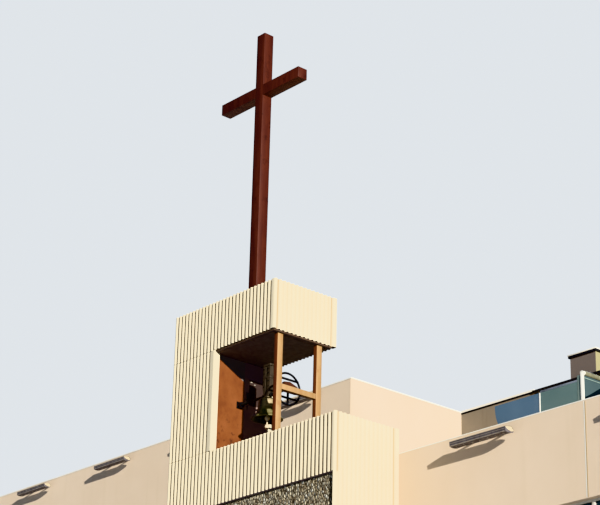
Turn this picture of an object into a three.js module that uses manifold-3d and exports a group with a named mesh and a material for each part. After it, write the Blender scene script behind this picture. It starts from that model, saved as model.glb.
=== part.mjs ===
// Modern church building with an open bell tower, a tall nave and a lower wing.
// Millimetres, +Z up, Y runs back into the building, X to the right along its front.
// Every size below is counted from the foot of the tower's front right corner.
import * as THREE from 'three';
import { mergeVertices } from 'three/addons/utils/BufferGeometryUtils.js';
import Module from 'manifold-3d';

const wasm = await Module();
wasm.setup();

// The gap that two touching pieces keep, and how far a cutting box runs past a wall
const SEAT = 0.3;
const PAST = 50;

// Tower
const TOWER_WIDTH = 4480;
const TOWER_DEPTH = 1486;
const TOWER_WALL = 130;
const TOWER_SIDE_WALL = 160;
const TOWER_LEFT = -TOWER_WIDTH;

// Belfry heights
const PARAPET_TOP = 11530;
const PARAPET_FOOT = 10508;
const SOFFIT = 13420;
const CAP_TOP = 14350;
const CAP_RIGHT = -1632;
const CAP_ROOF_SINK = 50;
const CAP_ROOF_THICK = 100;
const SOFFIT_THICK = 32;
const SOFFIT_LIP = 4;
const BELFRY_FLOOR_THICK = 158;

// The fin beside the belfry and the rusty panel that lines it
const FIN_RETURN = -3280;
const RUST_FACE = -3360;
const RUST_THICK = 60;
const PEBBLE_RECESS = 50;
const CORNER_JAMB = 30;

// Steel posts and the rail between them, which carries the bell's right bearing on an arm
const POST_RIGHT = -1712;
const POST_WIDTH = 90;
const POST_DEPTH = 122;
const FRONT_POST_Y = 166;
const REAR_POST_Y = 1082;
const RAIL_TOP = 12472;
const RAIL_HEIGHT = 100;

// Cross on the cap's roof
const CROSS_SECTION = 223;
const CROSS_X = -3021;
const CROSS_Y = 730;
const CROSS_TOP = 20020;
const CROSS_ARM_Z = 18780;
const CROSS_SPAN = 2266;

// Bell, with the axle that it turns on
const BELL_X = -2560;
const AXLE_Y = 690;
const AXLE_Z = 12540;
const AXLE_RADIUS = 25;
const BORE_RADIUS = 25.6;
const AXLE_INSET = 10;
const BELL_RADIUS = 285;
const BELL_HEIGHT = 413;
const BELL_MOUTH = 12092;
const HEADSTOCK_WIDTH = 190;
const HEADSTOCK_DEPTH = 100;
const HEADSTOCK_TOP = 13130;
const HEADSTOCK_FOOT = BELL_MOUTH + BELL_HEIGHT + SEAT;
const HEADSTOCK_FOOT_WIDTH = 90;
const HEADSTOCK_TAPER = 150;
const WHEEL_X = -2030;
const WHEEL_RADIUS = 290;
const WHEEL_TUBE = 19;
const WHEEL_BAR = 34;
const WHEEL_BAR_NEAR = 2;
const WHEEL_BAR_FAR = 28;
const WHEEL_CHORD = 172;
const HUB_RADIUS = 48;
const HUB_LENGTH = 60;

// Clapper, with the pin and the two lugs in the bell that carry it
const CLAPPER_PIVOT = 12400;
const CLAPPER_PIN = 8;
const CLAPPER_PLAY = 0.7;
const CLAPPER_EYE = 22;
const LUG_X = 30;
const LUG_THICK = 12;
const LUG_HALF = 14;
const LUG_TOP = 350;

// Bearings: a housing on the rusty panel, and a block on an arm that reaches in from the rail
const HOUSING_SIDE = 130;
const HOUSING_DEPTH = 78;
const BLOCK_LEFT = -1990;
const BLOCK_RIGHT = -1930;
const BLOCK_SIDE = [[530, 12450], [840, 12450], [840, 12582], [660, 12640], [530, 12620]];
const ARM_FRONT = 640;
const ARM_BACK = 840;
const ARM_TOP = 12500;
const ARM_FOOT = 12450;

// Nave
const NAVE_LEFT = -21120;
const NAVE_RIGHT = -6440;
const NAVE_FRONT = 6240;
const NAVE_BACK = 15200;
const NAVE_TOP = 15168;
const NAVE_WALL = 300;
const NAVE_ROOF_Z = 14500;
const NAVE_STEP_Y = 9620;
const NAVE_STEP_RIGHT = -4256;
const ROOF_THICK = 250;
const GROUND_SLAB = 150;

// Windows and doors of the nave
const BAY = 3376;
const LAST_BAY_X = -8030;
const BAYS = 4;
const END_SLOTS_Y = [9182, 12558];
const SLOT_WIDTH = 700;
const SLOT_FOOT = 4200;
const SLOT_HEAD = 8600;
const DOORWAY_WIDTH = 2400;
const DOORWAY_HEAD = 2900;
const DOOR_THICK = 60;
const DOOR_GAP = 4;
const GLASS_LAP = 100;
const GLASS_THICK = 12;

// Wing, from the party line with the nave to its right end
const WING_RIGHT = 8186;
const WING_FRONT = TOWER_DEPTH + SEAT;
const WING_WALL = 250;
const WING_TOP = 11100;
const WING_BACK = 9870;
const RIBBON_LEFT = 600;
const RIBBON_RIGHT = 7586;
const RIBBON_HEIGHT = 1550;
const TOP_RIBBON_HEAD = 9550;
const END_RIBBON_FRONT = 2640;
const END_RIBBON_BACK = 8670;
const BACK_RIBBON_LEFT = -700;
const STOREY = 3500;
const FLOORS = 3;
const TERRACE = 10400;
const FLOOR_THICK = 250;

// Stair block behind the wing, its dark roof and the chimney on it
const STAIR_RIGHT = -1500;
const STAIR_BACK = 13000;
const STAIR_TOP = 15120;
const CANOPY_THICK = 50;
const CANOPY_FRONT = 9570;
const CANOPY_OVERHANG = 200;
const CHIMNEY_LEFT = -3440;
const CHIMNEY_WIDTH = 710;
const CHIMNEY_DEPTH = 900;
const CHIMNEY_FRONT = 9920;
const CHIMNEY_WALL = 120;
const CHIMNEY_TOP = 15786;
const CHIMNEY_CAP = 76;
const CHIMNEY_OVERHANG = 45;

// Balustrade on the terrace
const BALUSTRADE_LEFT = 2183;
const BALUSTRADE_CURVE = 80;
const BALUSTRADE_BEND = 120;
const BALUSTRADE_Y = 1500;
const BALUSTRADE_TOP = 11435;
const POST_X = 4003;
const POST_SIDE = 50;
const POST_TOP = 11580;
const HANDRAIL_Z = 11562;
const HANDRAIL_RADIUS = 40;
const HANDRAIL_BACK = 9600;

// Wall lamps: a housing that two arms hold off the wall. Its section is counted from its
// outer top edge, towards the wall and up
const LAMP_LENGTH = 1230;
const LAMP_REACH = 318;
const LAMP_DROP = 180;
const LAMP_SECTION = [
  [0, 0], [150, 28], [209, -45], [190, -72], [120, -88], [60, -90], [8, -78],
];
const LAMP_ARM_WIDTH = 40;
const LAMP_ARM_INSET = 250;
const LAMP_ARM_START = 140;
const LAMP_ARM_TOP = 20;
const LAMP_ARM_FOOT = -8;
const WING_LAMP_LEFT = 1474;
const WING_LAMP_STEP = 3584;

// The origin lies under the middle of the whole building
const ORIGIN_X = (NAVE_LEFT + WING_RIGHT) / 2;
const ORIGIN_Y = NAVE_BACK / 2;

const building = new THREE.Group();
building.position.set(-ORIGIN_X, -ORIGIN_Y, 0);

const paint = (color, roughness, metalness = 0) =>
  new THREE.MeshStandardMaterial({ color, roughness, metalness });

const finish = {
  cream: paint(0xefe3c8, 0.85),
  tan: paint(0xdcc6a4, 0.9),
  shade: paint(0xb39d7c, 0.9),
  rust: paint(0xa55a2d, 0.8, 0.3),
  pebble: paint(0x6f6a55, 0.95),
  orange: paint(0xc98246, 0.5, 0.4),
  crossBrown: paint(0x5f2d23, 0.45, 0.5),
  bronze: paint(0x55503c, 0.5, 0.7),
  dark: paint(0x2a2320, 0.6, 0.3),
  black: paint(0x15151a, 0.5, 0.5),
  steel: paint(0x8c8880, 0.4, 0.9),
  glass: paint(0x4b697d, 0.1),
  white: paint(0xf4f2ec, 0.5),
  lamp: paint(0x5a5450, 0.5, 0.4),
  wood: paint(0x6b452c, 0.6),
  concrete: paint(0xa39a8c, 0.9),
};

function add(name, geometry, material) {
  const mesh = new THREE.Mesh(geometry, material);
  mesh.name = name;
  building.add(mesh);
}

// A box between two corners
function block(low, high) {
  const size = high.map((value, i) => value - low[i]);
  const geometry = new THREE.BoxGeometry(...size);
  geometry.translate(...high.map((value, i) => (value + low[i]) / 2));
  return geometry;
}

function outline(points, holes = []) {
  const shape = new THREE.Shape(points.map(([a, b]) => new THREE.Vector2(a, b)));
  for (const hole of holes) {
    shape.holes.push(new THREE.Path(hole.map(([a, b]) => new THREE.Vector2(a, b))));
  }
  return shape;
}

function rectangle(left, foot, right, head) {
  return [[left, foot], [right, foot], [right, head], [left, head]];
}

// A plan outline raised from one height to another
function raised(plan, foot, head, holes = []) {
  const settings = { depth: head - foot, bevelEnabled: false };
  return new THREE.ExtrudeGeometry(outline(plan, holes), settings).translate(0, 0, foot);
}

// An outline seen from the front, in X and Z, between two depths
function upright(front, near, far) {
  const settings = { depth: far - near, bevelEnabled: false };
  const geometry = new THREE.ExtrudeGeometry(outline(front), settings);
  return geometry.rotateX(Math.PI / 2).translate(0, far, 0);
}

// An outline seen from the side, in Y and Z, drawn out along X
const ALONG_X = new THREE.Matrix4().makeBasis(
  new THREE.Vector3(0, 1, 0),
  new THREE.Vector3(0, 0, 1),
  new THREE.Vector3(1, 0, 0),
);
function drawnAlongX(side, left, right) {
  const settings = { depth: right - left, bevelEnabled: false };
  const geometry = new THREE.ExtrudeGeometry(outline(side), settings);
  return geometry.applyMatrix4(ALONG_X).translate(left, 0, 0);
}

// A cylinder along X about a point in Y and Z
function rod(left, right, radius, y, z, sides = 32) {
  const geometry = new THREE.CylinderGeometry(radius, radius, right - left, sides);
  return geometry.rotateZ(Math.PI / 2).translate((left + right) / 2, y, z);
}

function toManifold(geometry) {
  const bare = geometry.clone();
  bare.deleteAttribute('normal');
  bare.deleteAttribute('uv');
  const merged = mergeVertices(bare, 1e-3);
  return new wasm.Manifold(new wasm.Mesh({
    numProp: 3,
    vertProperties: new Float32Array(merged.attributes.position.array),
    triVerts: new Uint32Array(merged.index.array),
  }));
}

function toGeometry(solid) {
  const { vertProperties, triVerts } = solid.getMesh();
  const geometry = new THREE.BufferGeometry();
  geometry.setAttribute('position', new THREE.BufferAttribute(new Float32Array(vertProperties), 3));
  geometry.setIndex(new THREE.BufferAttribute(new Uint32Array(triVerts), 1));
  geometry.computeVertexNormals();
  return geometry;
}

const joined = (first, ...rest) =>
  toGeometry(rest.reduce((solid, piece) => solid.add(toManifold(piece)), toManifold(first)));
const cut = (body, ...tools) =>
  toGeometry(tools.reduce((solid, tool) => solid.subtract(toManifold(tool)), toManifold(body)));

const INNER_FRONT = TOWER_WALL + SEAT;
const INNER_BACK = TOWER_DEPTH - TOWER_WALL - SEAT;

function buildTower() {
  const front = [
    [TOWER_LEFT, 0], [FIN_RETURN, 0], [FIN_RETURN, PARAPET_FOOT],
    [-CORNER_JAMB, PARAPET_FOOT], [-CORNER_JAMB, 0], [0, 0],
    [0, PARAPET_TOP], [FIN_RETURN, PARAPET_TOP], [FIN_RETURN, SOFFIT], [TOWER_LEFT, SOFFIT],
  ];
  add('tower_front_wall', upright(front, 0, TOWER_WALL), finish.cream);

  const back = [
    [TOWER_LEFT, 0], [0, 0], [0, PARAPET_TOP],
    [RUST_FACE, PARAPET_TOP], [RUST_FACE, SOFFIT], [TOWER_LEFT, SOFFIT],
  ];
  add('tower_back_wall', upright(back, TOWER_DEPTH - TOWER_WALL, TOWER_DEPTH), finish.cream);

  const leftInner = TOWER_LEFT + TOWER_SIDE_WALL;
  add('tower_left_wall',
    block([TOWER_LEFT, INNER_FRONT, 0], [leftInner, INNER_BACK, CAP_TOP]), finish.cream);
  add('tower_right_wall',
    block([-TOWER_SIDE_WALL, INNER_FRONT, 0], [0, INNER_BACK, PARAPET_TOP]), finish.cream);

  const pebbleLeft = FIN_RETURN + SEAT;
  const pebbleRight = -CORNER_JAMB - SEAT;
  add('pebble_panel',
    block([pebbleLeft, PEBBLE_RECESS, 0], [pebbleRight, TOWER_WALL, PARAPET_FOOT - SEAT]),
    finish.pebble);

  const floorFoot = PARAPET_FOOT - BELFRY_FLOOR_THICK;
  add('belfry_floor',
    block([leftInner + SEAT, INNER_FRONT, floorFoot],
      [-TOWER_SIDE_WALL - SEAT, INNER_BACK, PARAPET_FOOT]), finish.concrete);
  add('rusty_inner_panel',
    block([RUST_FACE - RUST_THICK, INNER_FRONT, PARAPET_FOOT + SEAT],
      [RUST_FACE, INNER_BACK, SOFFIT]), finish.rust);
}

function buildCap() {
  const foot = SOFFIT + SEAT;
  const right = CAP_RIGHT - TOWER_WALL;
  const back = TOWER_DEPTH - TOWER_WALL;
  const fascia = [
    [TOWER_LEFT, 0], [CAP_RIGHT, 0], [CAP_RIGHT, TOWER_DEPTH], [TOWER_LEFT, TOWER_DEPTH],
    [TOWER_LEFT, back], [right, back], [right, TOWER_WALL], [TOWER_LEFT, TOWER_WALL],
  ];
  add('cap_fascia', raised(fascia, foot, CAP_TOP), finish.cream);

  const lipFront = SOFFIT_LIP;
  const lipBack = TOWER_DEPTH - SOFFIT_LIP;
  const lipRight = CAP_RIGHT - SOFFIT_LIP;
  const sheet = [
    [FIN_RETURN + SEAT, lipFront], [lipRight, lipFront], [lipRight, lipBack],
    [RUST_FACE + SEAT, lipBack], [RUST_FACE + SEAT, INNER_FRONT], [FIN_RETURN + SEAT, INNER_FRONT],
  ];
  add('cap_soffit', raised(sheet, SOFFIT - SOFFIT_THICK, SOFFIT), finish.dark);

  const left = TOWER_LEFT + TOWER_SIDE_WALL + SEAT;
  const roofTop = CAP_TOP - CAP_ROOF_SINK;
  add('cap_roof',
    block([left, INNER_FRONT, roofTop - CAP_ROOF_THICK], [right - SEAT, INNER_BACK, roofTop]),
    finish.concrete);
}

function buildPosts() {
  const left = POST_RIGHT - POST_WIDTH;
  const foot = PARAPET_FOOT + SEAT;
  const head = SOFFIT - SOFFIT_THICK - SEAT;
  for (const [name, y] of [['belfry_front_post', FRONT_POST_Y], ['belfry_rear_post', REAR_POST_Y]]) {
    add(name, block([left, y, foot], [POST_RIGHT, y + POST_DEPTH, head]), finish.orange);
  }
  add('belfry_rail',
    block([left, FRONT_POST_Y + POST_DEPTH + SEAT, RAIL_TOP - RAIL_HEIGHT],
      [POST_RIGHT, REAR_POST_Y - SEAT, RAIL_TOP]), finish.orange);
}

function buildCross() {
  const half = CROSS_SECTION / 2;
  const reach = CROSS_SPAN / 2;
  const foot = CAP_TOP - CAP_ROOF_SINK + SEAT;
  const armFoot = CROSS_ARM_Z - half;
  const armHead = CROSS_ARM_Z + half;
  const shape = [
    [-half, foot], [half, foot], [half, armFoot], [reach, armFoot], [reach, armHead],
    [half, armHead], [half, CROSS_TOP], [-half, CROSS_TOP], [-half, armHead],
    [-reach, armHead], [-reach, armFoot], [-half, armFoot],
  ];
  const geometry = upright(shape, CROSS_Y - half, CROSS_Y + half).translate(CROSS_X, 0, 0);
  add('roof_cross', geometry, finish.crossBrown);
}

function bellShell() {
  const profile = [
    [0, 348], [110, 344], [138, 320], [146, 250], [170, 140], [206, 64], [240, 14], [262, 0],
    [BELL_RADIUS, 0], [281, 18], [242, 58], [214, 92], [192, 136], [176, 190], [168, 260],
    [162, 330], [148, 370], [112, 390], [62, 398], [62, BELL_HEIGHT], [0, BELL_HEIGHT],
  ];
  const points = profile.map(([r, z]) => new THREE.Vector2(r, z));
  return new THREE.LatheGeometry(points, 40).rotateX(Math.PI / 2);
}

const bore = (left, right) => rod(left - PAST, right + PAST, BORE_RADIUS, AXLE_Y, AXLE_Z);

function buildBell() {
  const axle = rod(RUST_FACE + AXLE_INSET, BLOCK_RIGHT - AXLE_INSET, AXLE_RADIUS, AXLE_Y, AXLE_Z);
  add('bell_axle', axle, finish.steel);

  const side = HEADSTOCK_WIDTH / 2;
  const foot = HEADSTOCK_FOOT_WIDTH / 2;
  const shoulder = HEADSTOCK_FOOT + HEADSTOCK_TAPER;
  const stock = [
    [-foot, HEADSTOCK_FOOT], [foot, HEADSTOCK_FOOT], [side, shoulder],
    [side, HEADSTOCK_TOP], [-side, HEADSTOCK_TOP], [-side, shoulder],
  ];
  const halfDepth = HEADSTOCK_DEPTH / 2;
  const body = upright(stock, AXLE_Y - halfDepth, AXLE_Y + halfDepth).translate(BELL_X, 0, 0);
  add('bell_headstock', cut(body, bore(BELL_X - side, BELL_X + side)), finish.wood);

  const pinHeight = CLAPPER_PIVOT - BELL_MOUTH;
  const lug = (x) => block([x - LUG_THICK / 2, -LUG_HALF, pinHeight - LUG_HALF],
    [x + LUG_THICK / 2, LUG_HALF, LUG_TOP]);
  const pinEnd = LUG_X + LUG_THICK / 2;
  const pin = rod(-pinEnd, pinEnd, CLAPPER_PIN, 0, pinHeight, 16);
  const shell = joined(bellShell(), lug(-LUG_X), lug(LUG_X), pin);
  add('bell', shell.translate(BELL_X, AXLE_Y, BELL_MOUTH), finish.bronze);
}

function buildWheel() {
  const rim = new THREE.TorusGeometry(WHEEL_RADIUS, WHEEL_TUBE, 8, 40).rotateY(Math.PI / 2);
  const chordHalf = Math.sqrt(WHEEL_RADIUS ** 2 - WHEEL_CHORD ** 2);
  const half = WHEEL_BAR / 2;
  const bar = (y0, y1, z0, z1) => block([WHEEL_BAR_NEAR, y0, z0], [WHEEL_BAR_FAR, y1, z1]);
  const wheel = joined(rim,
    bar(-WHEEL_RADIUS, WHEEL_RADIUS, -half, half),
    bar(-half, half, -WHEEL_RADIUS, 0),
    bar(-chordHalf, chordHalf, WHEEL_CHORD - half, WHEEL_CHORD + half),
    bar(-chordHalf, chordHalf, -WHEEL_CHORD - half, -WHEEL_CHORD + half),
    rod(-HUB_LENGTH / 2, HUB_LENGTH / 2, HUB_RADIUS, 0, 0));
  wheel.translate(WHEEL_X, AXLE_Y, AXLE_Z);
  add('bell_wheel', cut(wheel, bore(WHEEL_X - HUB_LENGTH, WHEEL_X + HUB_LENGTH)), finish.black);
}

function buildBearings() {
  const near = RUST_FACE + SEAT;
  const far = RUST_FACE + HOUSING_DEPTH;
  const reach = HOUSING_SIDE / 2;
  const housing = block([near, AXLE_Y - reach, AXLE_Z - reach], [far, AXLE_Y + reach, AXLE_Z + reach]);
  add('left_bearing', cut(housing, bore(near, far)), finish.dark);

  const railFace = POST_RIGHT - POST_WIDTH - SEAT;
  const held = joined(
    drawnAlongX(BLOCK_SIDE, BLOCK_LEFT, BLOCK_RIGHT),
    block([BLOCK_LEFT, ARM_FRONT, ARM_FOOT], [railFace, ARM_BACK, ARM_TOP]));
  add('right_bearing', cut(held, bore(BLOCK_LEFT, BLOCK_RIGHT)), finish.orange);
}

function buildClapper() {
  const profile = [
    [0, -476], [36, -462], [44, -434], [30, -408], [14, -398], [14, -336], [24, -320],
    [42, -300], [46, -272], [30, -244], [12, -232], [12, -20], [0, -12],
  ];
  const points = profile.map(([r, z]) => new THREE.Vector2(r, z));
  const shaft = new THREE.LatheGeometry(points, 24).rotateX(Math.PI / 2);
  const eye = rod(-LUG_THICK * 1.5, LUG_THICK * 1.5, CLAPPER_EYE, 0, 0, 24);
  const hole = rod(-LUG_X, LUG_X, CLAPPER_PIN + CLAPPER_PLAY, 0, 0, 24);
  const hung = cut(joined(eye, shaft), hole);
  add('bell_clapper', hung.translate(BELL_X, AXLE_Y, CLAPPER_PIVOT), finish.steel);
}

const bayCentres = Array.from({ length: BAYS }, (_, i) => LAST_BAY_X - i * BAY);

// A sheet that follows three inner faces: the front, the end wall at `end`, and the back
function bentSheet(end, front, back, frontStop, backStop) {
  const thick = Math.sign(frontStop - end) * GLASS_THICK;
  return [
    [frontStop, front], [end, front], [end, back], [backStop, back],
    [backStop, back - GLASS_THICK], [end + thick, back - GLASS_THICK],
    [end + thick, front + GLASS_THICK], [frontStop, front + GLASS_THICK],
  ];
}

function buildNave() {
  const doorLeft = LAST_BAY_X - DOORWAY_WIDTH / 2;
  const doorRight = LAST_BAY_X + DOORWAY_WIDTH / 2;
  const frontOutline = [
    [NAVE_LEFT, 0], [doorLeft, 0], [doorLeft, DOORWAY_HEAD], [doorRight, DOORWAY_HEAD],
    [doorRight, 0], [NAVE_RIGHT, 0], [NAVE_RIGHT, NAVE_TOP], [NAVE_LEFT, NAVE_TOP],
  ];
  const innerFront = NAVE_FRONT + NAVE_WALL;
  const slots = bayCentres.map((x) =>
    block([x - SLOT_WIDTH / 2, NAVE_FRONT - PAST, SLOT_FOOT],
      [x + SLOT_WIDTH / 2, innerFront + PAST, SLOT_HEAD]));
  const frontWall = upright(frontOutline, NAVE_FRONT, innerFront);
  add('nave_front_wall', cut(frontWall, ...slots), finish.tan);

  const innerBack = NAVE_BACK - NAVE_WALL;
  const backSlots = bayCentres.map((x) =>
    block([x - SLOT_WIDTH / 2, innerBack - PAST, SLOT_FOOT],
      [x + SLOT_WIDTH / 2, NAVE_BACK + PAST, SLOT_HEAD]));
  const backWall = block([NAVE_LEFT, innerBack, 0], [NAVE_STEP_RIGHT, NAVE_BACK, NAVE_TOP]);
  add('nave_back_wall', cut(backWall, ...backSlots), finish.tan);

  const innerLeft = NAVE_LEFT + NAVE_WALL;
  const endSlots = END_SLOTS_Y.map((y) =>
    block([NAVE_LEFT - PAST, y - SLOT_WIDTH / 2, SLOT_FOOT],
      [innerLeft + PAST, y + SLOT_WIDTH / 2, SLOT_HEAD]));
  const leftWall = block([NAVE_LEFT, innerFront + SEAT, 0], [innerLeft, innerBack - SEAT, NAVE_TOP]);
  add('nave_left_wall', cut(leftWall, ...endSlots), finish.tan);

  const stepped = [
    [NAVE_RIGHT, innerFront + SEAT], [NAVE_RIGHT, NAVE_STEP_Y], [NAVE_STEP_RIGHT, NAVE_STEP_Y],
    [NAVE_STEP_RIGHT, innerBack - SEAT], [NAVE_STEP_RIGHT - NAVE_WALL, innerBack - SEAT],
    [NAVE_STEP_RIGHT - NAVE_WALL, NAVE_STEP_Y + NAVE_WALL],
    [NAVE_RIGHT - NAVE_WALL, NAVE_STEP_Y + NAVE_WALL], [NAVE_RIGHT - NAVE_WALL, innerFront + SEAT],
  ];
  add('nave_right_wall', raised(stepped, 0, NAVE_TOP), finish.cream);

  const inset = NAVE_WALL + SEAT;
  const inside = [
    [NAVE_LEFT + inset, innerFront + SEAT], [NAVE_RIGHT - inset, innerFront + SEAT],
    [NAVE_RIGHT - inset, NAVE_STEP_Y + inset], [NAVE_STEP_RIGHT - inset, NAVE_STEP_Y + inset],
    [NAVE_STEP_RIGHT - inset, innerBack - SEAT], [NAVE_LEFT + inset, innerBack - SEAT],
  ];
  add('nave_roof', raised(inside, NAVE_ROOF_Z, NAVE_ROOF_Z + ROOF_THICK), finish.concrete);
  add('nave_floor', raised(inside, 0, GROUND_SLAB), finish.concrete);

  const sheet = bentSheet(innerLeft + SEAT, innerFront + SEAT, innerBack - SEAT,
    LAST_BAY_X + SLOT_WIDTH, LAST_BAY_X + SLOT_WIDTH);
  add('nave_window_glass', raised(sheet, SLOT_FOOT - GLASS_LAP, SLOT_HEAD + GLASS_LAP), finish.glass);

  const doorNear = NAVE_FRONT + NAVE_WALL / 3;
  for (const [name, left, right] of [
    ['entrance_door_left', doorLeft + SEAT, LAST_BAY_X - DOOR_GAP / 2],
    ['entrance_door_right', LAST_BAY_X + DOOR_GAP / 2, doorRight - SEAT],
  ]) {
    add(name,
      block([left, doorNear, DOOR_GAP], [right, doorNear + DOOR_THICK, DOORWAY_HEAD - SEAT]),
      finish.wood);
  }
}

function buildWing() {
  const inner = WING_FRONT + WING_WALL;
  const heads = Array.from({ length: FLOORS }, (_, i) => TOP_RIBBON_HEAD - i * STOREY);
  const ribbons = heads.map((head) =>
    block([RIBBON_LEFT, WING_FRONT - PAST, head - RIBBON_HEIGHT],
      [RIBBON_RIGHT, inner + PAST, head]));
  const face = block([NAVE_RIGHT, WING_FRONT, 0], [WING_RIGHT, inner, WING_TOP]);
  add('wing_front_wall', cut(face, ...ribbons), finish.tan);

  add('wing_left_wall',
    block([NAVE_RIGHT, inner + SEAT, 0], [NAVE_RIGHT + WING_WALL, NAVE_FRONT - SEAT, WING_TOP]),
    finish.tan);
  const backInner = WING_BACK - WING_WALL;
  const endInner = WING_RIGHT - WING_WALL;
  const endRibbons = heads.map((head) =>
    block([endInner - PAST, END_RIBBON_FRONT, head - RIBBON_HEIGHT],
      [WING_RIGHT + PAST, END_RIBBON_BACK, head]));
  const backRibbons = heads.map((head) =>
    block([BACK_RIBBON_LEFT, backInner - PAST, head - RIBBON_HEIGHT],
      [RIBBON_RIGHT, WING_BACK + PAST, head]));
  const corner = [
    [WING_RIGHT, inner + SEAT], [WING_RIGHT, WING_BACK], [NAVE_STEP_RIGHT + SEAT, WING_BACK],
    [NAVE_STEP_RIGHT + SEAT, backInner], [endInner, backInner], [endInner, inner + SEAT],
  ];
  add('wing_right_and_back_wall',
    cut(raised(corner, 0, WING_TOP), ...endRibbons, ...backRibbons), finish.cream);

  const sheet = bentSheet(endInner - SEAT, inner + SEAT, backInner - SEAT,
    RIBBON_LEFT - GLASS_LAP, BACK_RIBBON_LEFT - GLASS_LAP);
  ['upper', 'middle', 'ground'].forEach((storey, i) => {
    const foot = heads[i] - RIBBON_HEIGHT - GLASS_LAP;
    add(`${storey}_window_glass`, raised(sheet, foot, heads[i] + GLASS_LAP), finish.glass);
  });

  const leftNear = NAVE_RIGHT + WING_WALL + SEAT;
  const plan = [
    [leftNear, inner + SEAT], [endInner - SEAT, inner + SEAT],
    [endInner - SEAT, backInner - SEAT], [NAVE_RIGHT + SEAT, backInner - SEAT],
    [NAVE_RIGHT + SEAT, NAVE_FRONT], [leftNear, NAVE_FRONT],
  ];
  add('terrace_slab', raised(plan, TERRACE - FLOOR_THICK, TERRACE), finish.concrete);
  add('upper_floor', raised(plan, 2 * STOREY - FLOOR_THICK, 2 * STOREY), finish.concrete);
  add('middle_floor', raised(plan, STOREY - FLOOR_THICK, STOREY), finish.concrete);
  add('ground_floor', raised(plan, 0, GROUND_SLAB), finish.concrete);
}

function buildStairBlock() {
  const left = NAVE_STEP_RIGHT + SEAT;
  const front = WING_BACK + SEAT;
  const walls = [
    [left, front], [STAIR_RIGHT, front], [STAIR_RIGHT, STAIR_BACK], [left, STAIR_BACK],
    [left, STAIR_BACK - WING_WALL], [STAIR_RIGHT - WING_WALL, STAIR_BACK - WING_WALL],
    [STAIR_RIGHT - WING_WALL, front + WING_WALL], [left, front + WING_WALL],
  ];
  add('stair_block_walls', raised(walls, 0, STAIR_TOP), finish.shade);

  const roofTop = STAIR_TOP + SEAT + CANOPY_THICK;
  add('stair_block_roof',
    block([left, CANOPY_FRONT, STAIR_TOP + SEAT],
      [STAIR_RIGHT + CANOPY_OVERHANG, STAIR_BACK + CANOPY_OVERHANG, roofTop]), finish.dark);

  const shaftRight = CHIMNEY_LEFT + CHIMNEY_WIDTH;
  const shaftBack = CHIMNEY_FRONT + CHIMNEY_DEPTH;
  const flue = rectangle(CHIMNEY_LEFT + CHIMNEY_WALL, CHIMNEY_FRONT + CHIMNEY_WALL,
    shaftRight - CHIMNEY_WALL, shaftBack - CHIMNEY_WALL);
  const shaft = rectangle(CHIMNEY_LEFT, CHIMNEY_FRONT, shaftRight, shaftBack);
  add('chimney', raised(shaft, roofTop + SEAT, CHIMNEY_TOP, [flue]), finish.shade);
  const over = CHIMNEY_OVERHANG;
  add('chimney_cap',
    block([CHIMNEY_LEFT - over, CHIMNEY_FRONT - over, CHIMNEY_TOP + SEAT],
      [shaftRight + over, shaftBack + over, CHIMNEY_TOP + CHIMNEY_CAP]), finish.concrete);
}

function buildBalustrade() {
  const right = POST_X - SEAT;
  const foot = WING_TOP + SEAT;
  const pane = new THREE.Shape();
  pane.moveTo(BALUSTRADE_LEFT + BALUSTRADE_CURVE, foot);
  pane.lineTo(right, foot);
  pane.lineTo(right, BALUSTRADE_TOP);
  pane.lineTo(BALUSTRADE_LEFT, BALUSTRADE_TOP);
  pane.quadraticCurveTo(BALUSTRADE_LEFT, foot + BALUSTRADE_BEND, BALUSTRADE_LEFT + BALUSTRADE_CURVE, foot);
  const settings = { depth: GLASS_THICK, bevelEnabled: false, curveSegments: 6 };
  const sheet = new THREE.ExtrudeGeometry(pane, settings).rotateX(Math.PI / 2);
  add('balustrade_glass', sheet.translate(0, BALUSTRADE_Y + GLASS_THICK, 0), finish.glass);

  const middle = POST_X + POST_SIDE / 2;
  const near = BALUSTRADE_Y + GLASS_THICK / 2 - POST_SIDE / 2;
  add('balustrade_post',
    block([POST_X, near, foot], [POST_X + POST_SIDE, near + POST_SIDE, POST_TOP]), finish.white);
  const behindPost = near + POST_SIDE + SEAT;
  const path = new THREE.LineCurve3(
    new THREE.Vector3(middle, behindPost, HANDRAIL_Z),
    new THREE.Vector3(middle, HANDRAIL_BACK, HANDRAIL_Z),
  );
  const ring = new THREE.Shape();
  ring.absarc(0, 0, HANDRAIL_RADIUS, 0, 2 * Math.PI);
  add('balustrade_handrail',
    new THREE.ExtrudeGeometry(ring, { steps: 1, extrudePath: path, curveSegments: 8 }),
    finish.white);

  const wallInner = WING_FRONT + WING_WALL + SEAT;
  const underRail = HANDRAIL_Z - HANDRAIL_RADIUS - SEAT;
  const side = [
    [behindPost, foot], [wallInner, foot], [wallInner, TERRACE + SEAT],
    [HANDRAIL_BACK, TERRACE + SEAT], [HANDRAIL_BACK, underRail], [behindPost, underRail],
  ];
  add('balustrade_side_glass',
    drawnAlongX(side, middle - GLASS_THICK / 2, middle + GLASS_THICK / 2), finish.glass);
}

function lampBody(left, wallY, wallTop) {
  const near = wallY - LAMP_REACH;
  const top = wallTop - LAMP_DROP;
  const side = LAMP_SECTION.map(([inward, up]) => [near + inward, top + up]);
  const body = drawnAlongX(side, left, left + LAMP_LENGTH);
  const arms = [LAMP_ARM_INSET, LAMP_LENGTH - LAMP_ARM_INSET - LAMP_ARM_WIDTH].map((x) =>
    block([left + x, near + LAMP_ARM_START, top + LAMP_ARM_FOOT],
      [left + x + LAMP_ARM_WIDTH, wallY - SEAT, top + LAMP_ARM_TOP]));
  return joined(body, ...arms);
}

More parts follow.
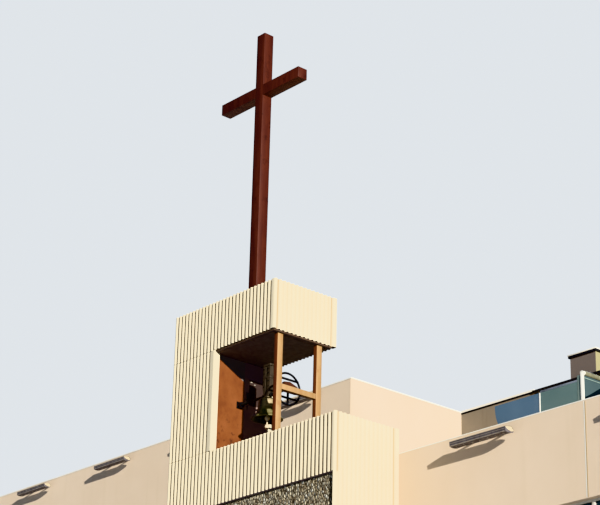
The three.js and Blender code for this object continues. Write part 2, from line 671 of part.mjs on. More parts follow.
function buildLamps() {
  bayCentres.forEach((x, i) => {
    const body = lampBody(x - LAMP_LENGTH / 2, NAVE_FRONT, NAVE_TOP);
    add(`nave_lamp_${BAYS - i}`, body, finish.lamp);
  });
  for (let i = 0; i < 2; i += 1) {
    const body = lampBody(WING_LAMP_LEFT + i * WING_LAMP_STEP, WING_FRONT, WING_TOP);
    add(`wing_lamp_${i + 1}`, body, finish.lamp);
  }
}

buildTower();
buildCap();
buildPosts();
buildCross();
buildBell();
buildWheel();
buildBearings();
buildClapper();
buildNave();
buildWing();
buildStairBlock();
buildBalustrade();
buildLamps();

export default building;
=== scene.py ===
import math

import bmesh
import bpy
from mathutils import Matrix, Vector


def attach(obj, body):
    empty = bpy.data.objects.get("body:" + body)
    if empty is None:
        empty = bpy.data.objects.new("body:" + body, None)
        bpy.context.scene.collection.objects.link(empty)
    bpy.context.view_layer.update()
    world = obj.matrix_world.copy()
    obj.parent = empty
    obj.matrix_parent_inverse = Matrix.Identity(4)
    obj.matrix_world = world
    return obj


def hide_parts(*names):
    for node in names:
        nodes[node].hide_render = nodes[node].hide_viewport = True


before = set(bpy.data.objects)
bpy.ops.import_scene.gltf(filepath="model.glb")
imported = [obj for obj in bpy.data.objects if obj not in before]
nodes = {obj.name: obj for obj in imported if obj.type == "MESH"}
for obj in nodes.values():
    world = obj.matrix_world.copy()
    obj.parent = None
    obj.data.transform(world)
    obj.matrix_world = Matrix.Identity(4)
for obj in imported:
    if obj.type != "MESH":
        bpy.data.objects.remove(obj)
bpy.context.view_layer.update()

into_scene = bpy.context.scene.collection.objects.link

# Millimetres from the foot of the tower's front right corner, as in the part's source
MM = 0.001
TOWER_FOOT = Vector((6467.0, -7600.0, 0.0))
X, Y, Z = Vector((1, 0, 0)), Vector((0, 1, 0)), Vector((0, 0, 1))
FULL_TURN = 2 * math.pi

PITCH = 97.6
LEFT, DEEP = -4480, 1486
WALL, SIDE_WALL = 130, 160
PARAPET_FOOT, PARAPET_TOP = 10508, 11530
SOFFIT_FOOT, SOFFIT, CAP_TOP = 13388, 13420, 14350
CAP_RIGHT, FIN_RETURN, RUST_FACE = -1632, -3280, -3360
POST_LEFT, POST_RIGHT, POST_DEPTH = -1802, -1712, 122
FRONT_POST_Y, REAR_POST_Y = 166, 1082
RAIL_TOP, RAIL_HEIGHT = 12472, 100
CROSS_X, CROSS_Y, CROSS_SECTION = -3021, 730, 223
CROSS_FOOT, CROSS_TOP, CROSS_ARM_Z, CROSS_SPAN = 14300, 20020, 18780, 2266
BELL_X, AXLE_Y, AXLE_Z, BELL_MOUTH = -2560, 690, 12540, 12092
CLAPPER_PIN = Vector((BELL_X, AXLE_Y, 12400))
STOCK_FOOT, STOCK_TOP, STOCK_SHOULDER = 12505.3, 13130, 12655
WHEEL_X, WHEEL_RADIUS, WHEEL_TUBE, WHEEL_CHORD = -2030, 290, 19, 172
BLOCK_LEFT, BLOCK_RIGHT = -1990, -1930
BLOCK_SIDE = ((530, 12450), (840, 12450), (840, 12582), (660, 12640), (530, 12620))
ARM_FRONT, ARM_BACK, ARM_TOP, ARM_FOOT = 640, 840, 12500, 12450
NAVE_LEFT, NAVE_RIGHT, NAVE_FRONT, NAVE_BACK, NAVE_TOP = -21120, -6440, 6240, 15200, 15168
NAVE_STEP_Y, NAVE_STEP_RIGHT, NAVE_WALL = 9620, -4256, 300
SHADOW_STRIP_FOOT, TERRACE = NAVE_TOP - 46, 10402
BAY, LAST_BAY_X, BAYS = 3376, -8030, 4
SLOT_WIDTH, SLOT_FOOT, SLOT_HEAD = 700, 4200, 8600
DOORWAY_WIDTH, DOORWAY_HEAD, DOOR_FRONT = 2400, 2900, NAVE_FRONT + NAVE_WALL / 3
WING_RIGHT, WING_FRONT, WING_BACK, WING_TOP, WING_WALL = 8186, 1486, 9870, 11100, 250
STAIR_RIGHT, STAIR_BACK, STAIR_TOP, CANOPY_TOP = -1500, 13000, 15120, 15170
RIBBON_LEFT, RIBBON_RIGHT, RIBBON_HEIGHT = 600, 7586, 1550
RIBBON_HEADS = (9550, 6050, 2550)
END_RIBBON, BACK_RIBBON_LEFT = (2640, 8670), -700
END_SLOTS_Y = (9182, 12558)


# Shader maths

class Wire:
    """A node's socket that takes part in sums."""

    def __init__(self, paint, socket):
        self.paint, self.socket = paint, socket

    def maths(self, how, *others):
        terms = dict(enumerate((self, *others)))
        return self.paint.node("ShaderNodeMath", {"operation": how}, terms)

    def __add__(self, other):
        return self.maths("ADD", other)

    def __mul__(self, other):
        return self.maths("MULTIPLY", other)

    def __sub__(self, other):
        return self.maths("SUBTRACT", other)

    def __rsub__(self, other):
        return self * -1 + other

    __radd__, __rmul__ = __add__, __mul__

    def between(self, low, high):
        """0 below low, 1 above high, smooth in between."""
        return self.paint.node(
            "ShaderNodeMapRange", {"interpolation_type": "SMOOTHSTEP"},
            {"Value": self, "From Min": low, "From Max": high})


class Paint:
    """A material built from nodes, with Principled BSDF at its end."""

    def __init__(self, name, roughness=0.8, metallic=0.0):
        self.material = bpy.data.materials.new(name)
        self.material.use_nodes = True
        self.tree = self.material.node_tree
        self.shader = self.tree.nodes["Principled BSDF"]
        self.set("Roughness", roughness)
        self.set("Metallic", metallic)
        self.place = self.node("ShaderNodeTexCoord", output="Object")
        axes = self.node("ShaderNodeSeparateXYZ", sockets={0: self.place})
        self.x, self.y, self.z = (Wire(self, axes.socket.node.outputs[i]) for i in range(3))

    def node(self, kind, settings=None, sockets=None, output=0, stops=None):
        made = self.tree.nodes.new(kind)
        for name, value in (settings or {}).items():
            setattr(made, name, value)
        if stops:
            ramp = made.color_ramp
            for spare in stops[2:]:
                ramp.elements.new(spare[0])
            for element, (position, colour) in zip(ramp.elements, stops):
                element.position, element.color = position, (*colour, 1)
        for name, value in (sockets or {}).items():
            self.plug(made.inputs[name], value)
        return Wire(self, made.outputs[output])

    def plug(self, socket, value):
        if isinstance(value, Wire):
            self.tree.links.new(value.socket, socket)
        elif hasattr(socket.default_value, "__len__") and len(socket.default_value) == 4:
            socket.default_value = (*value, 1)
        else:
            socket.default_value = value

    def set(self, name, value):
        self.plug(self.shader.inputs[name], value)
        return self

    def noise(self, scale, detail=3, roughness=0.5, stretch=None, distortion=0):
        return self.node("ShaderNodeTexNoise", {}, {
            "Vector": self.stretched(stretch), "Scale": scale, "Detail": detail,
            "Roughness": roughness, "Distortion": distortion})

    def cells(self, scale, feature="F1", output="Distance", stretch=None):
        return self.node("ShaderNodeTexVoronoi", {"feature": feature},
                         {"Vector": self.stretched(stretch), "Scale": scale}, output=output)

    def stretched(self, by):
        if not by:
            return self.place
        return self.node("ShaderNodeVectorMath", {"operation": "MULTIPLY"}, {0: self.place, 1: by})

    def mix(self, amount, first, second):
        return self.node("ShaderNodeMix", {"data_type": "RGBA"},
                         {0: amount, 6: first, 7: second}, output=2)

    def ramp(self, amount, *stops):
        return self.node("ShaderNodeValToRGB", {}, {0: amount}, stops=stops)

    def bump(self, height, strength, distance):
        return self.set("Normal", self.node("ShaderNodeBump", {}, {
            "Strength": strength, "Distance": distance, "Height": height}))


# Paints give back this share of their seen tone: a strong sun on dull paint keeps shadows deep
PAINT_SHARE = 0.8


def tone(red, green, blue):
    """A colour seen as 0 to 255, as a shader takes it."""
    return tuple(PAINT_SHARE * (part / 255) ** 2.2 for part in (red, green, blue))


def rendered_wall(name, light, dark, dirt, streaks=0.25, grain=0.35):
    """Painted render or precast: faint clouds, faint runs down the wall, a sandy grain."""
    paint = Paint(name, 0.88)
    light, dark, dirt = (tone(*part) for part in (light, dark, dirt))
    clouds = paint.noise(0.45, 4, 0.6).between(0.3, 0.7)
    runs = paint.noise(1.0, 3, 0.5, stretch=(5.0, 5.0, 0.3)).between(0.52, 0.75) * streaks
    colour = paint.mix(clouds, light, dark)
    colour = paint.mix(runs, colour, dirt)
    fine = paint.noise(95, 2, 0.5)
    paint.set("Base Color", colour).bump(fine, grain, 0.004)
    return paint.material


cream = rendered_wall("cream_precast", (238, 225, 197), (233, 219, 190), (206, 184, 154), streaks=0.18)
# A darker cream for the groove floors: painted shade, left off the sunlit right side
groove_shade_cream = rendered_wall(
    "cream_precast_painted_groove_shade", (186, 164, 132), (174, 152, 120), (134, 110, 84))
tan = rendered_wall(
    "tan_render", (242, 220, 196), (236, 213, 188), (218, 196, 164), streaks=0.12, grain=0.2)
# A greyer, darker render on the step wall: painted shade
step_wall_shade_render = rendered_wall(
    "step_wall_painted_shade_render", (143, 132, 118), (134, 122, 108), (106, 94, 80), streaks=0.3)
# A grey copy of the chimney's render for its front and left: painted shade
chimney_render = rendered_wall(
    "chimney_render", (133, 123, 119), (123, 112, 108), (96, 84, 76), streaks=0.3)
chimney_side = rendered_wall(
    "pale_chimney_render", (172, 164, 128), (160, 152, 118), (128, 120, 92), streaks=0.3)
coping_white = rendered_wall("white_coping", (255, 252, 244), (250, 246, 236), (214, 206, 188), grain=0.1)
concrete = rendered_wall("roof_concrete", (166, 157, 142), (148, 139, 124), (108, 100, 90), streaks=0.4)


def pebbles():
    """Upright pebbles in dark mortar, with dark runs over them."""
    paint = Paint("pebble_facing", 0.9)
    per_metre, upright = 26, (1.0, 1.0, 0.62)
    stones = paint.cells(per_metre, output="Color", stretch=upright)
    shape = paint.cells(per_metre, stretch=upright)
    on_stone = paint.cells(per_metre, "DISTANCE_TO_EDGE", stretch=upright).between(0.02, 0.16)
    pick = paint.node("ShaderNodeSeparateColor", {}, {0: stones})
    colour = paint.ramp(pick, (0.0, tone(104, 91, 78)), (0.3, tone(188, 172, 143)),
                        (0.55, tone(234, 221, 191)), (0.8, tone(161, 152, 136)),
                        (1.0, tone(255, 250, 232)))
    colour = paint.mix(on_stone, tone(76, 66, 52), colour)
    runs = paint.noise(30, 4, 0.7, stretch=(1.0, 1.0, 0.35))
    colour = paint.mix(runs.between(0.45, 0.62) * 0.6, colour, tone(68, 60, 46))
    paint.set("Base Color", colour)
    paint.bump(1 - shape + on_stone * 0.6 + runs * 0.5, 0.7, 0.04)
    return paint.material


def rusted():
    """Rust with dark and pale marks low down, and brown painted shade under the cap and behind the bell.
    """
    paint = Paint("rusted_sheet_with_painted_shade", 0.75, 0.15)
    clouds = paint.noise(2.6, 5, 0.65)
    colour = paint.ramp(clouds, (0.25, tone(103, 52, 28)), (0.5, tone(129, 75, 43)),
                        (0.75, tone(142, 86, 53)))
    low = 1 - paint.z.between(11.6, 12.5)
    spots = paint.noise(9, 5, 0.7).between(0.55, 0.64) * (low * 0.8 + 0.12)
    specks = (1 - paint.cells(16).between(0.06, 0.16)) * (low * 0.7 + 0.1)
    colour = paint.mix(spots, colour, tone(72, 34, 22))
    colour = paint.mix(specks, colour, tone(48, 26, 20))
    pale = paint.noise(5, 3, 0.5).between(0.68, 0.72) * low * 0.5
    colour = paint.mix(pale, colour, tone(176, 114, 90))
    # Painted shade: above a slanting line, the cap's shadow edge, the rust turns grey-brown, and behind
    # the bell past an upright line, the front post's shadow edge, it turns brown, darker high up
    slope, cap_shadow_line, post_shadow_edge = 0.53, (9.39, 9.404), (-6.81, -6.795)
    cap_shadow = (paint.z + paint.y * slope).between(*cap_shadow_line)
    post_shadow = paint.y.between(*post_shadow_edge)
    colour = paint.mix(cap_shadow, colour, tone(124, 116, 114))
    brown = paint.mix(paint.z.between(12.9, 13.15), tone(170, 142, 134), tone(128, 112, 112))
    # Painted shade: a darker patch where sunlight reaches past the headstock
    sunlit_patch_darkened = (paint.y.between(-6.71, -6.68) * paint.z.between(12.58, 12.62)
             * (1 - paint.z.between(13.07, 13.1)))
    colour = paint.mix(post_shadow, colour, paint.mix(sunlit_patch_darkened, brown, tone(66, 52, 50)))
    paint.set("Base Color", colour).set("Roughness", 0.65 + clouds * 0.25)
    paint.bump(clouds + spots * 0.4, 0.25, 0.01)
    return paint.material


def steel_paint(name, light, dark, roughness=0.5, metallic=0.1, rust=None, rust_amount=0.5):
    """Weathered paint on steel, with runs down it."""
    paint = Paint(name, roughness, metallic)
    light, dark = tone(*light), tone(*dark)
    runs = paint.noise(7, 4, 0.6, stretch=(1.6, 1.6, 0.22))
    colour = paint.mix(runs.between(0.3, 0.7), light, dark)
    if rust:
        marks = paint.noise(5, 6, 0.7).between(0.54, 0.68) * rust_amount
        colour = paint.mix(marks, colour, tone(*rust))
    paint.set("Base Color", colour).set("Roughness", roughness + runs * 0.2)
    paint.bump(paint.noise(60, 3, 0.6), 0.12, 0.002)
    return paint.material


orange = steel_paint(
    "orange_post_paint", (182, 147, 107), (168, 131, 90), rust=(138, 80, 42), rust_amount=0.3)
red_brown = steel_paint(
    "red_brown_post_paint", (122, 70, 47), (94, 50, 34), rust=(70, 30, 22), rust_amount=0.6)
block_brown = steel_paint(
    "brown_bearing_paint", (84, 44, 27), (60, 31, 21), 0.55, 0.1, rust=(40, 20, 15), rust_amount=0.6)
cross_paint = steel_paint(
    "red_brown_cross_paint", (95, 51, 42), (77, 38, 33), 0.42, 0.2, rust=(52, 24, 22), rust_amount=0.6)
# Dark sheet of the soffit, also used as painted shade under the cap's ribs and the parapet's foot
dark_sheet = steel_paint("dark_soffit_sheet_and_painted_shade", (94, 84, 84), (78, 68, 68), 0.7, 0.0)
soffit_edge = steel_paint("brown_soffit_edge", (92, 72, 60), (74, 57, 48), 0.7, 0.0)
# Dark sheet of the canopy, also used as painted shadow under the step wall's coping and the chimney lid
canopy_and_shadow_sheet = steel_paint("dark_canopy_sheet", (24, 24, 34), (16, 16, 24), 0.6, 0.1)
joint_brown = steel_paint("brown_joint", (196, 172, 138), (184, 160, 126), 0.8, 0.0)
black_iron = steel_paint("black_iron", (34, 34, 40), (22, 22, 26), 0.45, 0.5)
axle_black = steel_paint("dull_black_axle", (26, 24, 26), (18, 16, 18), 0.85, 0.0)
white_metal = steel_paint(
    "white_metal", (250, 248, 242), (240, 236, 226), 0.4, 0.0, rust=(206, 196, 178), rust_amount=0.2)
rail_grey = steel_paint(
    "grey_handrail", (150, 146, 122), (122, 119, 98), 0.4, 0.1, rust=(92, 90, 72), rust_amount=0.4)
strip_green = steel_paint("grey_green_strip", (158, 178, 170), (132, 150, 146), 0.4, 0.1)
window_frame = steel_paint("white_window_frame", (232, 228, 216), (220, 214, 200), 0.4, 0.0)
lamp_grey = steel_paint("lamp_grey", (112, 106, 110), (86, 80, 84))
lamp_lip = steel_paint("lamp_lip", (214, 200, 172), (196, 180, 150))
# Pale paint for small fittings, and for painted highlights on the lamps and painted sunlight on the rusty
# panel
lamp_tube = steel_paint("lamp_tube", (178, 168, 156), (150, 140, 130), 0.35, 0.1)
axle_steel = steel_paint("dull_steel", (150, 146, 138), (112, 106, 98), 0.4, 0.8)
pale_clapper = steel_paint("pale_clapper", (236, 220, 192), (214, 196, 166), 0.55, 0.1)
strip_grey = steel_paint("blue_grey_strip", (138, 146, 160), (118, 126, 140))
box_grey = steel_paint("grey_box_paint", (112, 104, 100), (92, 86, 82))


def bronze():
    """Dull bronze, paler above the waist as painted light and darkened on its left as painted shade."""
    paint = Paint("dull_bell_bronze_painted_light_and_shade", 0.5, 0.25)
    waist, painted_shade_edge = (12.22, 12.34), (3.92, 3.985)
    clouds = paint.noise(6, 5, 0.6)
    colour = paint.ramp(clouds, (0.3, tone(92, 90, 66)), (0.5, tone(116, 111, 78)),
                        (0.72, tone(150, 136, 98)))
    # Painted light above the waist, then painted shade on the left
    colour = paint.mix(paint.z.between(*waist) * 0.8, colour, tone(176, 156, 122))
    colour = paint.mix(paint.x.between(*painted_shade_edge), tone(42, 48, 52), colour)
    paint.set("Base Color", colour).set("Roughness", 0.4 + clouds * 0.3)
    paint.bump(clouds, 0.15, 0.004)
    return paint.material


def timber(name, light, dark):
    """Stained wood with its grain upright."""
    paint = Paint(name, 0.62)
    grain = paint.noise(6, 5, 0.6, stretch=(14.0, 14.0, 1.2), distortion=0.6)
    colour = paint.mix(grain.between(0.3, 0.7), tone(*light), tone(*dark))
    paint.set("Base Color", colour).set("Roughness", 0.5 + grain * 0.25)
    paint.bump(grain, 0.3, 0.004)
    return paint.material


def glass(name, colour, alpha, roughness=0.05):
    """Dark glass with faint waves in its tint."""
    paint = Paint(name, roughness)
    waves = paint.noise(0.8, 2).between(0.3, 0.7)
    colour = tone(*colour)
    darker = tuple(part * 0.8 for part in colour)
    paint.set("Base Color", paint.mix(waves, colour, darker)).set("Alpha", alpha)
    paint.set("IOR", 1.5).set("Coat Weight", 0.5).set("Coat Roughness", 0.03)
    return paint.material


def front_panes():
    """Glass left of the mullion in blue, a painted sky reflection, and right of it in green, the shaded
    wall behind painted in.
    """
    paint = Paint("panes_with_painted_sky_and_shade", 0.08)
    mullion = (9.60, 9.63)
    right = paint.x.between(*mullion)
    waves = paint.noise(0.9, 2).between(0.3, 0.7)
    # Blue is painted sky reflection; green is the painted shaded wall behind the glass
    blue = paint.mix(waves, tone(116, 140, 164), tone(104, 128, 152))
    green = paint.mix(waves, tone(128, 152, 150), tone(114, 136, 136))
    paint.set("Base Color", paint.mix(right, blue, green)).set("Alpha", 0.92)
    paint.set("Coat Weight", 0.3).set("Coat Roughness", 0.03)
    return paint.material


bell_metal = bronze()
pane_glass = front_panes()
olive_timber = timber("olive_headstock_timber", (76, 66, 56), (46, 41, 37))
door_timber = timber("stained_door_boards", (122, 80, 48), (86, 52, 30))
window_glass = glass("dark_window_glass", (46, 58, 66), 0.93)
side_glass = glass("teal_side_pane", (84, 100, 104), 0.95, 0.08)
# Near-black glass for a painted shadow on the side pane
shadow_pane_glass = glass("side_pane_painted_shadow", (22, 28, 32), 0.97, 0.08)
pebble_facing = pebbles()
rust_and_painted_shade_sheet = rusted()


# Shapes

def place(part):
    """The place in the order of an edge or a face, from the numbers of its first corners."""
    first = sorted(vert.index for vert in part.verts)[:3]
    return sum(number * 10000 ** i for i, number in enumerate(reversed(first)))


class Form:
    """A shape in the making, in millimetres from the foot of the tower."""

    def __init__(self):
        self.mesh = bmesh.new()
        self.tint = 0

    def keep(self, verts):
        """The parts that lie wholly among these vertices, in the tint that is set."""
        inside = set(verts)
        edges = dict.fromkeys(e for v in verts for e in v.link_edges if inside.issuperset(e.verts))
        faces = dict.fromkeys(f for v in verts for f in v.link_faces if inside.issuperset(f.verts))
        for face in faces:
            face.material_index = self.tint
        return [*verts, *edges, *faces]

    def move(self, verts, by):
        bmesh.ops.translate(self.mesh, vec=by, verts=verts)

    def box(self, low, high, bevel=0, steps=2):
        """A box between two corners, with softened edges where a bevel is given."""
        made = bmesh.ops.create_cube(self.mesh, size=1)["verts"]
        low, high = Vector(low), Vector(high)
        bmesh.ops.scale(self.mesh, vec=high - low, verts=made)
        self.move(made, (low + high) / 2)
        parts = self.keep(made)
        if bevel:
            edges = [p for p in parts if isinstance(p, bmesh.types.BMEdge)]
            bmesh.ops.bevel(self.mesh, geom=edges, offset=bevel, offset_type="OFFSET",
                            segments=steps, profile=0.5, affect="EDGES", material=-1)

    def bar(self, wall, across, up, deep, bevel=3):
        """A box on a wall given by a point, a way along it and a way into it."""
        start, along, into = wall
        corners = [start + along * u + into * v for u in across for v in deep]
        low = Vector((min(c.x for c in corners), min(c.y for c in corners), up[0]))
        high = Vector((max(c.x for c in corners), max(c.y for c in corners), up[1]))
        self.box(low, high, bevel)

    def prism(self, outline, rise):
        """A flat outline drawn out into a closed body."""
        near = [self.mesh.verts.new(point) for point in outline]
        far = [self.mesh.verts.new(vert.co + Vector(rise)) for vert in near]
        self.mesh.faces.new(near[::-1])
        self.mesh.faces.new(far)
        for i in range(len(near)):
            self.mesh.faces.new((near[i - 1], near[i], far[i], far[i - 1]))
        self.keep(near + far)
        return near + far

    def repeat(self, verts, step, count):
        """Copies in a row, the first one included in the count."""
        if count > 1:
            bmesh.ops.spin(self.mesh, geom=self.keep(verts), cent=(0, 0, 0), axis=Z, angle=0,
                           dvec=Vector(step), steps=count - 1, use_duplicate=True)

    def turned(self, profile, centre, steps):
        """A profile of radius and height, spun about its upright axis."""
        points = [self.mesh.verts.new((r, 0, h)) for r, h in profile]
        edges = [self.mesh.edges.new(pair) for pair in zip(points, points[1:])]
        before = set(self.mesh.verts) - set(points)
        bmesh.ops.spin(self.mesh, geom=points + edges, cent=(0, 0, 0), axis=Z, angle=FULL_TURN,
                       steps=steps, use_merge=True)
        made = [v for v in self.mesh.verts if v not in before]
        bmesh.ops.remove_doubles(self.mesh, verts=made, dist=0.01)
        made = [v for v in self.mesh.verts if v not in before]
        self.move(made, centre)
        self.keep(made)

    def rod(self, start, end, radius, steps=20):
        """A closed round bar between two points."""
        start, way = Vector(start), Vector(end) - Vector(start)
        across = Z.rotation_difference(way).to_matrix() * radius
        angles = [FULL_TURN * i / steps for i in range(steps)]
        circle = [start + across @ Vector((math.sin(a), math.cos(a), 0)) for a in angles]
        self.prism(circle, way)

    def hoop(self, centre, radius, tube, steps=56, sides=10):
        """A closed round hoop about an axis along X."""
        circle = bmesh.ops.create_circle(self.mesh, segments=sides, radius=tube)["verts"]
        bmesh.ops.rotate(self.mesh, cent=(0, 0, 0), matrix=Matrix.Rotation(math.pi / 2, 3, "X"),
                         verts=circle)
        self.move(circle, (radius, 0, 0))
        before = set(self.mesh.verts) - set(circle)
        bmesh.ops.spin(self.mesh, geom=self.keep(circle), cent=(0, 0, 0), axis=Z, angle=FULL_TURN,
                       steps=steps, use_merge=True)
        made = [v for v in self.mesh.verts if v not in before]
        bmesh.ops.rotate(self.mesh, cent=(0, 0, 0), matrix=Matrix.Rotation(math.pi / 2, 3, "Y"),
                         verts=made)
        self.move(made, centre)
        self.keep(made)

    def tint_side(self, way, tint):
        """The faces that look this way take a tint of their own."""
        bmesh.ops.recalc_face_normals(self.mesh, faces=self.mesh.faces)
        for face in self.mesh.faces:
            if face.normal.dot(way) > 0.8:
                face.material_index = tint

    def finish(self, name, slot, materials, replaces=(), body="building", angle=35):
        """The shape becomes a piece in metres that rides on a body."""
        bmesh.ops.recalc_face_normals(self.mesh, faces=self.mesh.faces)
        self.move(self.mesh.verts, TOWER_FOOT)
        bmesh.ops.scale(self.mesh, vec=(MM, MM, MM), verts=self.mesh.verts)
        # A bevel leaves edges and faces in an order that changes from run to run
        self.mesh.verts.index_update()
        self.mesh.edges.sort(key=place)
        self.mesh.faces.sort(key=place)
        mesh = bpy.data.meshes.new(name)
        self.mesh.to_mesh(mesh)
        self.mesh.free()
        for material in materials:
            mesh.materials.append(material)
        mesh.shade_smooth()
        mesh.set_sharp_from_angle(angle=math.radians(angle))
        piece = bpy.data.objects.new(name, mesh)
        into_scene(piece)
        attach(piece, body)
        if replaces:
            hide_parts(*replaces)
        return piece


# The ribbed tower

RIB_DEPTH, SINK, JOINT, CORNER_ROUND, SOFT_EDGE = 32, 4, 8, 28, 6
# A rib's flank: distance from the groove's middle, depth behind the crest. The rib's other
# flank mirrors it within the span
FLANK, RIB_SPAN = [(18, RIB_DEPTH + SINK), (30, 7), (36, 1), (43, 0)], 98
# Middles of the first and last grooves on the front and back, the cap, the fin and the sides
FIRST_GROOVE, LAST_GROOVE, CAP_LAST, FIN_LAST = -4402, -107.6, -1766.8, -3426
SIDE_FIRST, SIDE_LAST = SIDES = 90, 1358.8
SIDE_END = DEEP - SIDE_LAST
LEFT_REACH, CAP_REACH = FIRST_GROOVE - LEFT, CAP_RIGHT - CAP_LAST
# The ribs end below a joint, and the walls' plain faces lie behind them, darker with painted shade in the
# grooves except on the right
FIN_TOP, LOWER_TOP = SOFFIT - JOINT, PARAPET_TOP - JOINT
LEFT_STAGES = ((0, LOWER_TOP), (PARAPET_TOP, FIN_TOP))
FRONT, BACK = Vector((0, 0, 0)), Vector((0, DEEP, 0))
WALL_LEFT, WALL_RIGHT = LEFT + RIB_DEPTH, -RIB_DEPTH


def ribs(form, face, along, out, first, last, foot, head):
    """Ribs between the first and the last groove of a wall whose crests lie in one plane."""
    base = face + Z * foot
    plan = FLANK + [(RIB_SPAN - u, w) for u, w in reversed(FLANK)]
    outline = [base + along * (first + u) - out * w for u, w in plan]
    made = form.prism(outline, Z * (head - foot))
    form.repeat(made, along * PITCH, round((last - first) / PITCH))


def corner_post(form, corner, way_a, reach_a, way_b, reach_b, foot, head):
    """The plain corner between the end grooves of two ribbed faces."""
    plan = [(reach_a - u, w) for u, w in FLANK]
    steps = 4
    for i in range(steps + 1):
        turn = math.pi / 2 * i / steps
        plan.append((CORNER_ROUND * (1 - math.sin(turn)), CORNER_ROUND * (1 - math.cos(turn))))
    plan += [(w, reach_b - u) for u, w in reversed(FLANK)]
    plan.append((RIB_DEPTH + SINK, RIB_DEPTH + SINK))
    corner = Vector((*corner, foot))
    form.prism([corner + way_a * a + way_b * b for a, b in plan], Z * (head - foot))


def end_post(form, edge, front, foot, head):
    """The plain end of the fin's ribbed wall, from its last groove to a smooth right edge."""
    inward = Y if front == FRONT else -Y
    plan = [(FIN_LAST + u, w) for u, w in FLANK]
    plan += [(edge - SOFT_EDGE, 0), (edge, SOFT_EDGE), (edge, WALL),
             (FIN_LAST + FLANK[0][0], WALL)]
    form.prism([front + X * x + inward * w + Z * foot for x, w in plan], Z * (head - foot))


def tower_front():
    form = Form()
    form.tint = 1
    form.box((WALL_LEFT, RIB_DEPTH, 0), (FIN_RETURN - 20, WALL, SOFFIT))
    form.box((FIN_RETURN - 30, RIB_DEPTH, PARAPET_FOOT), (WALL_RIGHT, WALL, PARAPET_TOP))
    form.tint = 0
    for foot, head in ((0, PARAPET_FOOT), (PARAPET_TOP, FIN_TOP)):
        ribs(form, FRONT, X, -Y, FIRST_GROOVE, FIN_LAST, foot, head)
        end_post(form, FIN_RETURN, FRONT, foot, head)
    ribs(form, FRONT, X, -Y, FIRST_GROOVE, LAST_GROOVE, PARAPET_FOOT, LOWER_TOP)
    for foot, head in LEFT_STAGES:
        corner_post(form, (LEFT, 0), X, LEFT_REACH, Y, SIDE_FIRST, foot, head)
    corner_post(form, (0, 0), -X, -LAST_GROOVE, Y, SIDE_FIRST, PARAPET_FOOT, PARAPET_TOP)
    # The jamb beside the pebble panel, and a dark strip under the parapet's foot: a painted shadow of its
    # overhang
    jamb_left = -30
    jamb = [(jamb_left, WALL), (jamb_left, 0), (-24, 0), (-14, 4), (-4, 14), (0, 24), (0, 49),
            (-1, 57), (-7, 63), (-29, 75), (-29, WALL)]
    form.prism([Vector((x, y, 0)) for x, y in jamb], Z * PARAPET_FOOT)
    form.tint = 2
    form.box((FIN_RETURN + 1, 8, PARAPET_FOOT - 20), (jamb_left - 1, WALL - 4, PARAPET_FOOT + 1))
    form.finish("ribbed_front", "ribbed_render", [cream, groove_shade_cream, dark_sheet],
                ["tower_front_wall"])


def tower_back():
    form = Form()
    form.tint = 1
    form.box((WALL_LEFT, DEEP - WALL, 0), (RUST_FACE - 20, DEEP - RIB_DEPTH, SOFFIT))
    form.box((RUST_FACE - 30, DEEP - WALL, 0), (WALL_RIGHT, DEEP - RIB_DEPTH, PARAPET_TOP))
    form.tint = 0
    ribs(form, BACK, X, Y, FIRST_GROOVE, LAST_GROOVE, 0, LOWER_TOP)
    ribs(form, BACK, X, Y, FIRST_GROOVE, FIN_LAST, PARAPET_TOP, FIN_TOP)
    end_post(form, RUST_FACE, BACK, PARAPET_TOP, FIN_TOP)
    for foot, head in LEFT_STAGES:
        corner_post(form, (LEFT, DEEP), X, LEFT_REACH, -Y, SIDE_END, foot, head)
    corner_post(form, (0, DEEP), -X, -LAST_GROOVE, -Y, SIDE_END, 0, PARAPET_TOP)
    form.finish("ribbed_back", "ribbed_render", [cream, groove_shade_cream], ["tower_back_wall"])


def tower_sides():
    form = Form()
    form.tint = 1
    form.box((WALL_LEFT, WALL, 0), (LEFT + SIDE_WALL, DEEP - WALL, CAP_TOP - 60))
    form.tint = 0
    for foot, head in LEFT_STAGES:
        ribs(form, X * LEFT, Y, -X, *SIDES, foot, head)
    form.finish("ribbed_left", "ribbed_render", [cream, groove_shade_cream], ["tower_left_wall"])
    form = Form()
    form.box((-SIDE_WALL, WALL, 0), (WALL_RIGHT, DEEP - WALL, PARAPET_TOP))
    ribs(form, FRONT, Y, X, *SIDES, 0, PARAPET_TOP)
    form.finish("ribbed_right", "ribbed_render", [cream, groove_shade_cream], ["tower_right_wall"])


